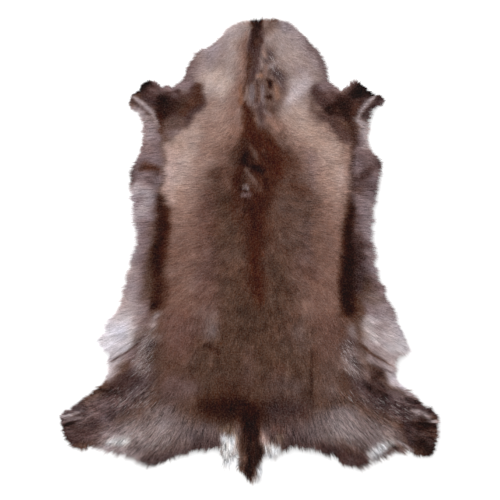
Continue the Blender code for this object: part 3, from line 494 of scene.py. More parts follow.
# Marks with a sharper course, painted last, right where they are told
fineMarks = [
    ("neckScar", "scarGrey", 0.7, 1.2, [(252, 88, 2.6), (252, 98, 3)]),
    ("neckScarRight", "scarGrey", 0.6, 1.2, [(262, 87, 2), (263, 101, 2.2)]),
    ("neckScarLow", "mauve", 0.6, 2.4, [(248, 105, 1.4), (262, 104, 1.6)]),
    ("neckScarLine", "plumBrown", 0.9, 0.8, [(250, 80.5, 0.9), (257, 81, 0.8), (257.5, 93, 0.7),
                                             (257, 104, 0.8)]),
    ("neckHollowHigh", "bistre", 1.0, 1.4, [(266, 80, 1), (270, 83, 2.4), (270, 88, 2)]),
    ("neckHollowLow", "bistre", 1.0, 1.4, [(266, 98, 1.6), (270, 98, 2.4)]),
    ("neckRidge", "fawn", 0.9, 1.6, [(263, 53, 1.4), (266, 58, 1.6)]),
    ("neckSpotsHigh", "slate", 0.9, 2, [(269, 53, 1.8), (272, 58, 2.2), (265, 62, 1.6)]),
    ("neckSpots", "slate", 0.85, 2.4, [(273, 68, 2.4), (277, 75, 4), (283, 80, 3)]),
    ("neckSpotsLow", "dimMauve", 0.8, 2.4, [(279, 83, 2.4), (284, 89, 2)]),
    ("neckSpotsCore", "inkGrey", 0.8, 1.6, [(275, 75, 2), (280, 76, 1.8)]),
    ("neckPaleBridge", "rosyFawn", 0.8, 2, [(266, 67, 1.6), (265, 77, 1.6)]),
    ("neckFleck", "lilacCream", 0.6, 1.6, [(269, 68, 1.6), (278, 63, 1.4)]),
    ("orangeHigh", "orangeTan", 0.8, 1.4, [(257, 77, 1.2), (262, 77, 1.4)]),
    ("orangeDot", "rust", 0.9, 1, [(259, 72, 0.8), (262, 72, 0.8)]),
    ("orangeRight", "orangeTan", 0.4, 2.4, [(276, 88, 2), (277, 98, 2.4)]),
    ("orangeLeft", "orangeTan", 0.45, 2.4, [(240, 88, 1.6), (241, 103, 2)]),
    ("neckPaleSpot", "mauveGrey", 0.8, 2, [(264, 112, 1.4), (270, 116, 1.8)]),
    ("withersCore", "pitch", 0.75, 4, [(247, 153, 1.4), (244, 160, 3), (247, 167, 2)]),
    ("withersScarDark", "pitch", 0.95, 3.4, [(253, 168, 2.6), (262, 171, 3.4)]),
    ("withersScarSide", "bistre", 0.8, 3, [(266, 180, 2), (267, 189, 2)]),
    ("withersScarLeft", "rust", 0.8, 3, [(242, 168, 3), (238, 178, 4), (236, 186, 3)]),
    ("withersRustRight", "bistre", 0.6, 4, [(266, 158, 3), (274, 164, 3)]),
    ("withersLow", "greyBrown", 0.6, 3, [(244, 176, 2), (252, 184, 4), (260, 190, 3)]),
    ("withersScarHigh", "greyBrown", 0.9, 1.8, [(250, 146, 0.8), (255, 155, 2.6), (258, 161, 0.8)]),
    ("withersScarSpot", "greyBrown", 0.8, 1.4, [(263, 152, 1.2), (265, 153, 0.8)]),
    ("withersScar", "haunchPale", 0.6, 1.4, [(246, 171, 1.6), (251, 177, 1.4), (257, 184, 1)]),
    ("withersScarLine", "darkUmber", 0.8, 1, [(250, 168, 0.8), (256, 178, 0.8)]),
    ("withersScarTop", "fawn", 0.8, 1.2, [(245, 169, 0.8), (249, 170, 0.8)]),
    ("withersNickDark", "bistre", 0.95, 1.2, [(240, 189, 1), (246, 192, 1)]),
    ("withersScarPale", "haunchPale", 1.0, 1.2, [(244, 187, 1.6), (248, 188.5, 1.4)]),
    ("withersScarLow", "mauve", 0.8, 2, [(242, 195, 1.6), (250, 195, 1.8)]),
    ("leftShankStrip", "paleMauve", 1.0, 1.2, [(134, 97, 1.4), (145, 106, 2.2), (153, 114, 1.6),
                                               (159, 128, 0.8)]),
    ("leftShankRim", "soot", 0.95, 1.2, [(132, 95, 1.2), (140, 88, 1.4), (148, 80, 1.4)]),
    # grey hair with painted shadow beyond the raised pale strip
    ("leftShankStripDark", "slate", 0.8, 1.6, [(129, 98, 1.6), (138, 105, 1.6), (150, 115, 1)]),
    ("rightShankStrip", "paleMauve", 1.0, 1.2, [(374, 97, 1.6), (366, 104, 2), (360, 112, 1.4),
                                                (357, 122, 0.8)]),
    ("rightShankRim", "soot", 1.0, 1.4, [(359, 87, 1.6), (366, 91, 1.8), (373, 95, 1.4)]),
    # dark hair with painted shadow beyond the raised pale strip
    ("rightShankStripDark", "inkGrey", 1.0, 2, [(380, 98, 3), (373, 106, 2.4), (363, 116, 1.4)]),
    # painted shade in the left belly crease
    ("leftBellyCrease", "plumBrown", 0.9, 0.9, [(112, 361, 0.7), (124, 354, 0.9), (136, 345, 0.9),
                                                (146, 334, 1.1)]),
    ("leftBellyFold", "mauve", 0.5, 1.2, [(133, 324, 0.8), (146, 323, 1.2)]),
    # painted shade in the right belly and groin creases
    ("rightBellyCrease", "umber", 0.9, 0.9, [(361, 345, 1), (372, 354, 1), (391, 365, 0.8)]),
    ("rightGroinCrease", "inkGrey", 0.8, 1, [(376, 366, 0.8), (393, 373, 0.8)]),
    ("rightThighBlob", "soot", 0.95, 3, [(373, 378, 2.4), (381, 374, 3)]),
    # painted shade in the left thigh crease
    ("leftThighCrease", "soot", 0.95, 1.4, [(99, 389, 1), (110, 391, 2), (118, 392, 1)]),
    ("leftHindStrip", "lilacCream", 0.85, 1.4, [(61, 417, 1), (70, 415, 1.4), (82, 411, 1)]),
    ("leftHindStripLow", "mauveGrey", 0.8, 1.2, [(66, 420, 0.8), (80, 417, 1)]),
    ("leftHindCleft", "soot", 1.0, 1.4, [(60, 427, 1.6), (68, 424, 2), (76, 421, 1)]),
    ("rightHindPale", "paleMauve", 0.9, 1.6, [(411, 410, 1.4), (422, 412, 2), (429, 418, 1.4)]),
    ("rightHindTip", "lilacCream", 0.9, 1.4, [(431, 421, 1.2), (439, 421, 1.6)]),
    ("rightHindSide", "greyBrown", 0.8, 2, [(438, 430, 2), (437, 442, 2)]),
    ("rightHamDark", "soot", 0.95, 1.2, [(387, 440, 0.8), (392, 445, 1.2), (397, 449, 1.6)]),
    ("leftWisps", "bone", 1.0, 3, [(108, 442, 1.6), (116, 441, 4), (126, 441, 4)]),
    ("leftWispsHigh", "lilacCream", 0.7, 2, [(104, 433, 1), (118, 437, 2)]),
    ("leftHamRim", "haunchPale", 0.9, 3, [(92, 450, 3), (106, 453, 3)]),
    ("leftHamTufts", "slate", 0.5, 2, [(114, 454, 1.6), (128, 456, 1.6)]),
    ("leftHamPoint", "slate", 0.7, 3, [(146, 460, 2), (152, 464, 3)]),
    ("rightWisps", "bone", 0.9, 2.4, [(394, 440, 1), (384, 446, 4), (372, 455, 5)]),
    ("rightWispsLow", "lilacCream", 0.9, 1.4, [(398, 441, 0.8), (406, 446, 1), (413, 451, 1)]),
    ("rightHamRim", "mauveGrey", 0.7, 3, [(404, 452, 2.4), (392, 456, 3)]),
    ("rightHamPoint", "slate", 0.8, 3, [(352, 458, 3), (350, 464, 3)]),
    ("nick", "darkUmber", 1.0, 1.2, [(204, 345, 1.4), (211, 346, 2.4), (217, 350, 2.4), (219, 353, 1.4)]),
    ("nickHair", "rosyFawn", 0.4, 2, [(211, 353, 2), (211, 364, 2)]),
    ("nickShade", "umber", 0.6, 3, [(212, 350, 2), (218, 354, 2)]),
    ("withersShade", "darkUmber", 0.5, 5, [(263, 166, 3), (264, 177, 3)]),
    ("rightStripSpot", "umber", 0.4, 5, [(358, 190, 4)]),
    ("rightHeelInk", "nearBlack", 0.8, 2, [(371, 380, 2), (380, 375, 2.4)]),
    ("leftHeelInk", "nearBlack", 0.75, 1.6, [(101, 390, 1.6), (112, 391, 1.6)]),
    ("slitHair", "umber", 0.6, 3, [(314, 344, 2), (312, 364, 2)]),
    # painted shade in the slit
    ("slit", "darkUmber", 0.8, 1.2, [(312, 352, 0.8), (311, 372, 1), (311, 394, 0.8)]),
]

# Unevenness of the colour, in layers: width in pixels and share of each
coatMottle = {
    "patches": ((19.0, 0.8), (8.0, 1.1), (3.0, 1.1)),
    "streaks": ((1.8, 6.0, 1.0), (4.5, 16.0, 0.6)),    # width, half the length along the hair, and share
    "warm": ((15.0, 0.25), (6.0, 0.2)), "warmMost": 0.08,
    "shift": ((24.0, 2.4), (10.0, 1.8), (4.0, 1.2)),   # how far a mark's course is moved
    "full": 400.0, "deepening": 0.66,                  # darker places are stronger in colour too
}

# How strong the patches and the streaks are: everywhere, and in zones by name, the two strengths,
# softness and stroke as for the marks
coatGrain = {"common": (0.05, 0.03), "rows": [
    ("back", 0.09, 0.035, 24, [(252, 210, 50), (252, 300, 74), (252, 370, 74)]),
    ("neckMiddle", 0.09, 0.05, 10, [(262, 40, 6), (262, 110, 16)]),
    ("leftShoulder", 0.09, 0.06, 8, [(148, 94, 12), (190, 104, 14)]),
    ("rightShoulder", 0.1, 0.06, 8, [(364, 94, 12), (330, 104, 14)]),
    ("leftHam", 0.09, 0.15, 14, [(100, 440, 6), (150, 446, 12), (206, 446, 6)]),
    ("rightHam", 0.09, 0.15, 14, [(400, 440, 6), (350, 446, 12), (298, 446, 6)]),
    ("leftTail", 0.08, 0.2, 6, [(228, 436, 8), (230, 462, 8)]),
    ("rightTail", 0.08, 0.2, 6, [(272, 436, 10), (274, 458, 8)]),
    ("leftStrip", 0.07, 0.04, 8, [(140, 180, 16), (136, 280, 16)]),
    ("rightStrip", 0.08, 0.04, 8, [(366, 180, 16), (372, 280, 16)]),
    ("leftBelly", 0.05, 0.07, 8, [(128, 310, 12), (112, 360, 14)]),
    ("rightBelly", 0.05, 0.08, 8, [(374, 310, 12), (394, 362, 14)]),
    ("leftElbow", 0.07, 0.12, 6, [(140, 112, 6), (148, 150, 10)]),
    ("rightElbow", 0.07, 0.12, 6, [(370, 112, 6), (366, 150, 8)]),
    ("leftThigh", 0.2, 0.08, 10, [(66, 420, 12), (126, 394, 14), (146, 350, 10)]),
    ("rightThigh", 0.22, 0.1, 10, [(430, 424, 14), (372, 386, 16), (350, 356, 10)]),
    ("rump", 0.08, 0.08, 10, [(206, 424, 8), (300, 424, 8)]),
]}

# Pale hairs among the dark: name, share of the hairs, softness and stroke as for the marks
coatGrizzle = [
    ("neckSpeckle", 0.16, 6, [(270, 60, 4), (280, 76, 4)]),
    ("leftStifle", 0.32, 6, [(148, 336, 5), (143, 366, 8)]),
    ("rightStifle", 0.3, 6, [(346, 350, 7), (354, 370, 7)]),
    ("leftThigh", 0.15, 10, [(120, 402, 8), (146, 400, 10)]),
    ("rightThigh", 0.1, 8, [(350, 396, 5), (410, 414, 6)]),
    ("leftHam", 0.2, 10, [(118, 434, 8), (160, 432, 12)]),
    ("rightHam", 0.2, 10, [(344, 430, 14), (384, 434, 8)]),
]


def mottled(x, y, layers, seed):
    return sum(strength * patchNoise(x / width, y / width, seed + index)
               for index, (width, strength) in enumerate(layers))


def strongest(x, y, rows, column, common):  # the greatest strength of the rows' strokes at each place
    share = np.full(len(x), common)
    for row in rows:
        share = np.maximum(share, row[column] * strokeMask(x, y, row[-1], row[-2]))
    return share


def streaked(x, y):
    across, down, _ = combAt(x, y)
    total = np.zeros(len(x))
    for index, (width, reach, share) in enumerate(coatMottle["streaks"]):
        steps = np.arange(-reach, reach, width)
        drawn = sum(patchNoise((x + across * step) / width, (y + down * step) / width,
                               noiseSeeds["streaks"] + index) for step in steps)
        total += share * drawn / math.sqrt(len(steps))
    return total


def coatColour(x, y):  # light given back by the hair at places in the photograph, one row of three each
    movedX = x + mottled(x, y, coatMottle["shift"], noiseSeeds["across"])
    movedY = y + mottled(x, y, coatMottle["shift"], noiseSeeds["down"])
    colour = np.tile(np.asarray(hairColours["backBrown"], float), (len(x), 1))
    for marks, markX, markY in ((coatMarks, movedX, movedY), (fineMarks, x, y)):
        for _, hue, strength, soft, points in marks:
            share = strength * strokeMask(markX, markY, points, soft)
            colour += (np.asarray(hairColours[hue], float) - colour) * share[:, None]
    patches, streaks = (strongest(x, y, coatGrain["rows"], column, common)
                        for column, common in enumerate(coatGrain["common"], start=1))
    light = 1 + mottled(x, y, coatMottle["patches"], noiseSeeds["patches"]) * patches
    light += streaked(x, y) * streaks
    warm = mottled(x, y, coatMottle["warm"], noiseSeeds["warm"])
    warm *= np.minimum(patches, coatMottle["warmMost"])
    deeper = coatMottle["deepening"] * (1 - light)
    colour *= (np.maximum(colour, 1) / coatMottle["full"]) ** deeper[:, None]
    colour *= np.stack([1 + warm, np.ones(len(x)), 1 - warm], 1)
    return linear(np.clip(colour, 0, fullColour))


# What the hair's own shade takes from the colours is given back here: gain and power of red, green and
# blue round a middle light
coatTone = {"gain": (1.055, 1.026, 1.027), "power": (1.0, 1.055, 1.086), "middle": 0.12}


def toned(colour):
    middle = coatTone["middle"]
    return middle * np.asarray(coatTone["gain"]) * (colour / middle) ** np.asarray(coatTone["power"])


def coatPaleness(x, y):
    return strongest(x, y, coatGrizzle, 1, 0.0)


# The rim of the CAD solid, where its locks of hair start, gives the outline of the skin and the coat.
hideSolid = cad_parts["hide"]
outline = {
    "weld": 1e-5,          # corners closer than this are one
    "lockFoot": 0.0044,    # the coat's own faces are higher than this
    "floor": 1e-4,         # the tips of the locks are lower than this
    "lockSides": 4,        # edges that meet at the tip of a lock
    "stepsBetween": 3,     # places of the smooth rim to each of the solid's
    "evening": 5,          # rounds of evening out the locks' reach
}


def mergedSolid():  # a copy of the solid's loose triangles, joined at their corners
    shape = bmesh.new()
    shape.from_mesh(hideSolid.data)
    bmesh.ops.remove_doubles(shape, verts=shape.verts, dist=outline["weld"])
    return shape


def rimOf(shape):  # the edge of the faces that lie wholly above the locks, as a ring of places
    upper = {face for face in shape.faces
             if min(vert.co.z for vert in face.verts) > outline["lockFoot"]}
    follows = {}
    for face in upper:
        for loop in face.loops:
            if sum(other in upper for other in loop.edge.link_faces) == 1:
                follows[loop.vert] = loop.link_loop_next.vert
    start = min(follows, key=lambda vert: (vert.co.y, vert.co.x))
    ring, vert = [start.co.xy.copy()], follows[start]
    while vert is not start:
        ring.append(vert.co.xy.copy())
        vert = follows[vert]
    return ring


def lockTips(shape):
    return [vert.co.xy.copy() for vert in shape.verts
            if vert.co.z < outline["floor"] and len(vert.link_edges) == outline["lockSides"]]


def roundedRing(ring, steps):  # a smooth curve through the ring's places
    fine = []
    for index in range(len(ring)):
        before, start, end, after = (ring[(index + step) % len(ring)] for step in (-1, 0, 1, 2))
        for step in range(steps):
            t = step / steps
            bend = (2 * before - 5 * start + 4 * end - after) * t ** 2
            twist = (3 * start - before - 3 * end + after) * t ** 3
            fine.append(0.5 * (2 * start + (end - before) * t + bend + twist))
    return fine


def insetRing(ring, insets):
    moved = []
    for index, inset in enumerate(insets):
        run = ring[(index + 1) % len(ring)] - ring[index - 1]
        moved.append(ring[index] + Vector((-run.y, run.x)).normalized() * inset)
    return moved


def ringArea(ring):
    return 0.5 * sum(ring[index - 1].cross(ring[index]) for index in range(len(ring)))


def ringReach(ring, tips):  # how far the locks reach beyond each place of the ring, evened out
    reach = np.array([min((tip - place).length for tip in tips) for place in ring])
    for _ in range(outline["evening"]):
        reach = 0.5 * reach + 0.25 * (np.roll(reach, 1) + np.roll(reach, -1))
    return reach


# Where the coat's edge lies inside or, below nought, outside the solid's: name, millimetres, softness and
# stroke as for the marks
rimMends = [
    ("tailTip", 7, 4, [(256, 476, 4)]), ("tailLeft", -12, 4, [(242, 464, 5)]),
    ("rightTuft", 18, 4, [(277, 451, 4)]), ("rightSeat", 13, 5, [(290, 447, 5), (317, 449, 5)]),
    ("rightSeatEnd", 9, 4, [(330, 453, 3)]), ("rightHamInner", -8, 4, [(343, 458, 4)]),
    ("rightHamPoint", 10, 4, [(356, 463, 3)]), ("rightHamSide", 19, 4, [(367, 458, 4)]),
    ("rightHam", 4, 4, [(381, 452, 3), (392, 448, 4)]), ("rightHeel", 13, 4, [(406, 449, 4)]),
    ("rightHind", 3, 5, [(433, 452, 4), (436, 428, 6)]), ("rightHindTop", 5, 4, [(424, 406, 4)]),
    ("rightThigh", -5, 4, [(412, 399, 5), (402, 390, 4), (394, 379, 3)]),
    ("rightBellyLow", 18, 4, [(396, 366, 4), (402, 355, 5)]),
    ("rightBelly", 6, 5, [(405, 342, 4), (395, 317, 6)]), ("rightBellyHigh", 3, 4, [(395, 317, 4)]),
    ("rightFlankLow", 5, 5, [(388, 303, 5), (383, 292, 4)]),
    ("rightFlank", 12, 5, [(378, 279, 4), (374, 262, 6)]),
    ("rightRibs", 10, 5, [(371, 246, 7), (371, 210, 8), (376, 186, 6)]),
    ("rightChest", 15, 5, [(378, 173, 4)]),
    ("rightElbow", 5, 5, [(376, 160, 4), (369, 148, 4)]),
    ("rightElbowNotch", 7, 2.4, [(368, 133, 2.4), (368, 144, 2.4)]),
    ("rightShank", 13, 5, [(368, 122, 5), (374, 110, 5)]),
    ("rightPad", -8, 4, [(379, 98, 4)]), ("rightShankTip", -4, 4, [(368, 92, 4), (357, 85, 4)]),
    ("rightShoulder", -3, 4, [(345, 90, 5), (334, 89, 3)]),
    ("rightNeck", 5, 5, [(326, 78, 5), (307, 42, 5)]),
    ("nape", -4, 5, [(274, 23, 5)]), ("leftNape", 4, 4, [(223, 35, 4)]),
    ("leftNeck", -5, 4, [(202, 53, 4)]),
    ("leftNeckLow", -3, 4, [(188, 75, 4)]), ("leftShoulder", -5, 4, [(167, 89, 5)]),
    ("leftShankTip", -3, 4, [(155, 84, 4), (144, 86, 4)]), ("leftPad", -9, 4, [(136, 96, 4)]),
    ("leftShank", 9, 5, [(140, 114, 5), (144, 122, 4)]),
    ("leftChest", 5, 5, [(139, 156, 5), (132, 182, 6), (135, 209, 5)]),
    ("leftStrip", 9, 5, [(136, 222, 5), (138, 236, 5), (136, 250, 4)]),
    ("leftFlank", 5, 5, [(133, 263, 5), (130, 276, 5), (126, 289, 4)]),
    ("leftBelly", -6, 4, [(118, 315, 4), (111, 327, 4)]), ("leftBellyTip", -12, 3, [(107, 340, 4)]),
    ("leftBellyLow", 13, 3, [(107, 353, 3)]), ("leftGroin", 4, 4, [(110, 366, 4)]),
    ("leftThigh", -6, 4, [(88, 399, 5), (77, 407, 4)]),
    ("leftHeel", 5, 5, [(62, 424, 5), (66, 437, 5), (76, 446, 4)]),
    ("leftHam", 9, 5, [(90, 446, 5), (104, 446, 5)]), ("leftHamLow", 4, 4, [(116, 448, 4)]),
    ("leftHamPoint", 13, 4, [(128, 452, 5), (140, 458, 4), (152, 463, 4)]),
    ("leftSeat", 18, 4, [(177, 454, 4)]), ("leftSeatMiddle", 10, 5, [(193, 450, 4), (205, 448, 4)]),
    ("leftSeatEnd", 15, 4, [(217, 449, 4)]),
]


def mendedRim(ring):
    x, y = photoPlace(*(np.array([place[axis] for place in ring]) for axis in (0, 1)))
    inset = sum(depth * millimetre * strokeMask(x, y, points, soft)
                for _, depth, soft, points in rimMends)
    return insetRing(ring, inset.tolist())


solidShape = mergedSolid()
solidTree = BVHTree.FromBMesh(solidShape)
solidRim = roundedRing(rimOf(solidShape), outline["stepsBetween"])
rimReach = ringReach(solidRim, lockTips(solidShape))
rim = mendedRim(solidRim)
print("rim of", len(rim), "places round", round(ringArea(rim), 3), "square metres, hair beyond it",
      round(rimReach.min() / millimetre, 1), "to", round(rimReach.max() / millimetre, 1), "mm")


def nearestRim(x, y):  # distance in metres to the rim, the way out across it, and the locks' reach there
    nearest = np.full(x.shape, np.inf)
    outX, outY, reach = (np.zeros(x.shape) for _ in range(3))
    for index, end in enumerate(rim):
        start = rim[index - 1]
        run = end - start
        along = np.clip(((x - start.x) * run.x + (y - start.y) * run.y) / run.length_squared, 0, 1)
        away = np.hypot(x - start.x - run.x * along, y - start.y - run.y * along)
        closer = away < nearest
        nearest = np.where(closer, away, nearest)
        outX = np.where(closer, run.y / run.length, outX)
        outY = np.where(closer, -run.x / run.length, outY)
        between = rimReach[index - 1] + (rimReach[index] - rimReach[index - 1]) * along
        reach = np.where(closer, between, reach)
    return nearest, outX, outY, reach


def triangulated(places):  # faces up over the places, of which the first ones are the closed rim
    count = len(rim)
    loop = [(index, (index + 1) % count) for index in range(count)]
    insideOnly = 1  # faces beyond the rim are left out
    places = [Vector(place) for place in places]
    _, _, faces, origins, _, _ = delaunay_2d_cdt(places, loop, [], insideOnly, tiny)
    return [[origins[corner][0] for corner in face] for face in faces]


def placed(name, data):  # a new object in the scene
    piece = bpy.data.objects.new(name, data)
    bpy.context.scene.collection.objects.link(piece)
    return piece


def closedSlab(name, places, heights, base):  # upper surface over the places, walls at the rim, flat base
    count = len(rim)
    low = len(places)
    verts = [(*place, height) for place, height in zip(places, heights)]
    verts += [(*place, base) for place in places[:count]]
    walls = [(low + index, low + (index + 1) % count, (index + 1) % count, index) for index in range(count)]
    under = [[low + corner for corner in reversed(face)] for face in triangulated(places[:count])]
    mesh = bpy.data.meshes.new(name)
    mesh.from_pydata(verts, [], triangulated(places) + walls + under)
    return placed(name, mesh)


def newMaterial(name, roughness, shine):
    material = bpy.data.materials.new(name)
    material.use_nodes = True
    shader = material.node_tree.nodes["Principled BSDF"]
    shader.inputs["Roughness"].default_value = roughness
    shader.inputs["Specular IOR Level"].default_value = shine
    return material, material.node_tree.nodes, material.node_tree.links, shader


def addNoise(nodes, links, scale, detail):  # reads the object's own coordinates
    place = nodes.new("ShaderNodeTexCoord")
    patches = nodes.new("ShaderNodeTexNoise")
    patches.inputs["Scale"].default_value = scale
    patches.inputs["Detail"].default_value = detail
    links.new(place.outputs["Object"], patches.inputs["Vector"])
    return patches.outputs["Fac"]


def addRange(nodes, links, source, low, high, start=0.0, end=1.0):
    node = nodes.new("ShaderNodeMapRange")
    node.inputs["From Min"].default_value = start
    node.inputs["From Max"].default_value = end
    node.inputs["To Min"].default_value = low
    node.inputs["To Max"].default_value = high
    links.new(source, node.inputs["Value"])
    return node.outputs["Result"]


def addBump(nodes, links, source, distance, shader):
    bump = nodes.new("ShaderNodeBump")
    bump.inputs["Distance"].default_value = distance
    links.new(source, bump.inputs["Height"])
    links.new(bump.outputs["Normal"], shader.inputs["Normal"])


def addAttribute(mesh, name, kind, values):
    attribute = mesh.attributes.new(name, kind, "POINT")
    field = {"FLOAT": "value", "FLOAT_VECTOR": "vector", "FLOAT_COLOR": "color"}[kind]
    attribute.data.foreach_set(field, np.ascontiguousarray(values, dtype=np.float32).ravel())


# Skin: the flesh side, a thin sheet on the floor
skin = {"inset": 0.003, "thickness": 0.0015, "flat": (1.02, 1.25), "roughness": 0.9, "shine": 0.2,
        "dark": (0.42, 0.32, 0.22, 1), "pale": (0.66, 0.56, 0.44, 1), "blotchScale": 9.0, "blotchDetail": 8.0,
        "suedeScale": 700.0, "suedeDetail": 2.0, "suedeHeight": 0.0004}


def suedeMaterial():
    material, nodes, links, shader = newMaterial("suede", skin["roughness"], skin["shine"])
    tint = nodes.new("ShaderNodeValToRGB")
    tint.color_ramp.elements[0].color = skin["dark"]
    tint.color_ramp.elements[1].color = skin["pale"]
    links.new(addNoise(nodes, links, skin["blotchScale"], skin["blotchDetail"]), tint.inputs["Fac"])
    links.new(tint.outputs["Color"], shader.inputs["Base Color"])
    suede = addNoise(nodes, links, skin["suedeScale"], skin["suedeDetail"])
    addBump(nodes, links, suede, skin["suedeHeight"], shader)
    return material


def buildSkin():
    ring = insetRing(rim, [skin["inset"]] * len(rim))
    sheet = closedSlab("skin", [tuple(place) for place in ring], [skin["thickness"]] * len(ring), 0.0)
    sheet.data.materials.append(suedeMaterial())
    return sheet, ringArea(ring)


# Undercoat: the lumpy body of the coat, below the tips of its hair
undercoat = {
    "pitch": 0.0046, "wander": 0.3, "seed": 21, "inset": 0.0012,
    "rimGap": 0.7,          # shares of the pitch that stay free inside the rim
    "pile": 0.0045,         # how far the tips of the hair stand above it
    "rimPile": 0.0022,      # and at the rim
    "rimRoll": 0.03,        # how far inside the rim the coat gets its full pile
    "evening": 26,          # rounds of evening out the solid's facets
    "floorGap": 0.0016,     # room for the skin
    "leastDepth": 0.0008,
    "rayHeight": 1.0,       # from where the solid's upper surface is looked for
    "lumps": ((15.0, 0.0009), (5.0, 0.0005)),  # width in the photograph's pixels, height in metres
    "roughness": 0.95, "shine": 0.1, "shade": (0.3, 0.7),
    "fluffScale": 420.0, "fluffDetail": 2.0, "fluffHeight": 0.001,
}

# Folds of the coat finer than the solid's: name, height in millimetres, softness and stroke as for the marks
coatFolds = [
    ("leftBellyCrease", -3.0, 2, [(111, 363, 2.2), (130, 350, 2.2), (146, 336, 2.0)]),
    ("rightBellyCrease", -3.0, 2, [(359, 344, 2.2), (376, 353, 2.2), (391, 364, 2.2)]),
    ("leftThighCrease", -2.0, 2, [(98, 390, 2.0), (117, 392, 2.0)]),
    ("nick", -2.2, 2, [(203, 346, 2.0), (212, 346, 2.6), (219, 351, 2.0)]),
    ("slit", -2.4, 1.5, [(312, 350, 1.8), (311, 376, 2.2), (311, 394, 1.8)]),
    ("leftTrough", -2.4, 3.5, [(163, 150, 2), (163, 196, 4), (162, 250, 6), (161, 308, 5)]),
    ("rightTrough", -2.4, 3.5, [(352, 150, 2), (351, 206, 4), (349, 260, 6), (350, 312, 5)]),
    ("leftPanelLip", 1.4, 3.5, [(171, 136, 4), (171, 200, 4), (170, 240, 4)]),
    ("rightPanelLip", 1.4, 3.5, [(345, 142, 4), (345, 196, 4), (341, 232, 4)]),
    ("leftShankStrip", 1.6, 2.5, [(134, 99, 2.6), (150, 109, 3), (159, 124, 3)]),
    ("rightShankStrip", 1.6, 2.5, [(378, 100, 2.6), (364, 110, 3), (358, 125, 3)]),
    ("leftShoulderRidge", 1.4, 3.5, [(158, 89, 4), (178, 92, 4)]),
    ("leftShoulderHollow", -1.4, 4.5, [(162, 102, 5), (182, 113, 5)]),
    ("rightShoulderHollow", -1.4, 4.5, [(352, 104, 5), (340, 119, 5)]),
    ("neckScar", -1.6, 5, [(256, 86, 6), (257, 102, 6)]),
    ("neckHollow", -2.0, 2, [(266, 80, 2.6), (270, 100, 3)]),
    ("withersScar", -1.8, 3, [(249, 168, 3), (258, 178, 4), (246, 190, 4)]),
    ("neckRidge", 1.0, 3.5, [(265, 60, 4), (274, 76, 4), (270, 92, 4)]),
]


def insideRim(x, y):
    inside = np.zeros(x.shape, bool)
    for index, end in enumerate(rim):
        start = rim[index - 1]
        if start.y != end.y:
            crosses = (start.y > y) != (end.y > y)
            inside ^= crosses & (x < start.x + (y - start.y) / (end.y - start.y) * (end.x - start.x))
    return inside


def scattered(pitch, wander):  # staggered wandering rows of places inside the rim
    chance = np.random.default_rng(undercoat["seed"])
    rowPitch = pitch * math.sqrt(3) / 2
    lowX, highX = min(place.x for place in rim), max(place.x for place in rim)
    lowY, highY = min(place.y for place in rim), max(place.y for place in rim)
    x, y = np.meshgrid(np.arange(lowX, highX, pitch), np.arange(lowY, highY, rowPitch))
    x = x + (np.arange(len(x)) % 2)[:, None] * pitch / 2
    x, y = (values.ravel() + chance.uniform(-1, 1, values.size) * wander * pitch for values in (x, y))
    keep = insideRim(x, y) & (nearestRim(x, y)[0] > undercoat["rimGap"] * pitch)
    return x[keep], y[keep]


def solidHeight(x, y):
    hit, _, _, _ = solidTree.ray_cast(Vector((x, y, undercoat["rayHeight"])), Vector((0, 0, -1)))
    return hit.z if hit else undercoat["floorGap"]


def evened(values, faces, fixed):  # values drawn half to their neighbours' mean, the first ones kept
    faces = np.array(faces)
    firsts, seconds = faces.ravel(), np.roll(faces, -1, axis=1).ravel()
    count = np.bincount(firsts, minlength=len(values))
    for _ in range(undercoat["evening"]):
        total = np.bincount(firsts, values[seconds], minlength=len(values))
        mixed = 0.5 * values + 0.5 * total / np.maximum(count, 1)
        values = np.concatenate([values[:fixed], mixed[fixed:]])
    return values


def undercoatHeights(x, y, away, heights):
    placeX, placeY = photoPlace(x, y)
    fine = np.zeros(len(x))
    for _, height, soft, points in coatFolds:
        fine += height * millimetre * strokeMask(placeX, placeY, points, soft)
    for seed, (width, height) in enumerate(undercoat["lumps"]):
        fine += height * patchNoise(placeX / width, placeY / width, noiseSeeds["lumps"] + seed)
    edge = smooth(away, 0.0, undercoat["rimRoll"])
    pile = undercoat["rimPile"] + (undercoat["pile"] - undercoat["rimPile"]) * edge
    return np.maximum(heights + fine * edge - pile, undercoat["floorGap"] + undercoat["leastDepth"])


def undercoatMaterial():
    material, nodes, links, shader = newMaterial("undercoat", undercoat["roughness"], undercoat["shine"])
    coat = nodes.new("ShaderNodeAttribute")
    coat.attribute_name = "coat"
    fluff = addNoise(nodes, links, undercoat["fluffScale"], undercoat["fluffDetail"])
    shaded = nodes.new("ShaderNodeVectorMath")
    shaded.operation = "SCALE"
    links.new(coat.outputs["Color"], shaded.inputs[0])
    links.new(addRange(nodes, links, fluff, *undercoat["shade"]), shaded.inputs["Scale"])
    links.new(shaded.outputs[0], shader.inputs["Base Color"])
    addBump(nodes, links, fluff, undercoat["fluffHeight"], shader)
    return material


def buildUndercoat():
    ring = insetRing(rim, [undercoat["inset"]] * len(rim))
    insideX, insideY = scattered(undercoat["pitch"], undercoat["wander"])
    x = np.concatenate([[place.x for place in ring], insideX])
    y = np.concatenate([[place.y for place in ring], insideY])
    places = list(zip(x.tolist(), y.tolist()))
    heights = np.array([solidHeight(*place) for place in places])
    heights = evened(heights, triangulated(places), len(ring))
    away, outX, outY, reach = nearestRim(x, y)
    heights = undercoatHeights(x, y, away, heights)
    body = closedSlab("undercoat", places, heights.tolist(), undercoat["floorGap"])
    body.data.shade_smooth()
    body.data.materials.append(undercoatMaterial())
    twice = np.concatenate([np.arange(len(x)), np.arange(len(ring))])  # the rim again for the base
    paintCoat(body.data, x[twice], y[twice])
    guideHair(body.data, x[twice], y[twice], away[twice], outX[twice], outY[twice], reach[twice],
              np.arange(len(twice)) < len(x))
    return body


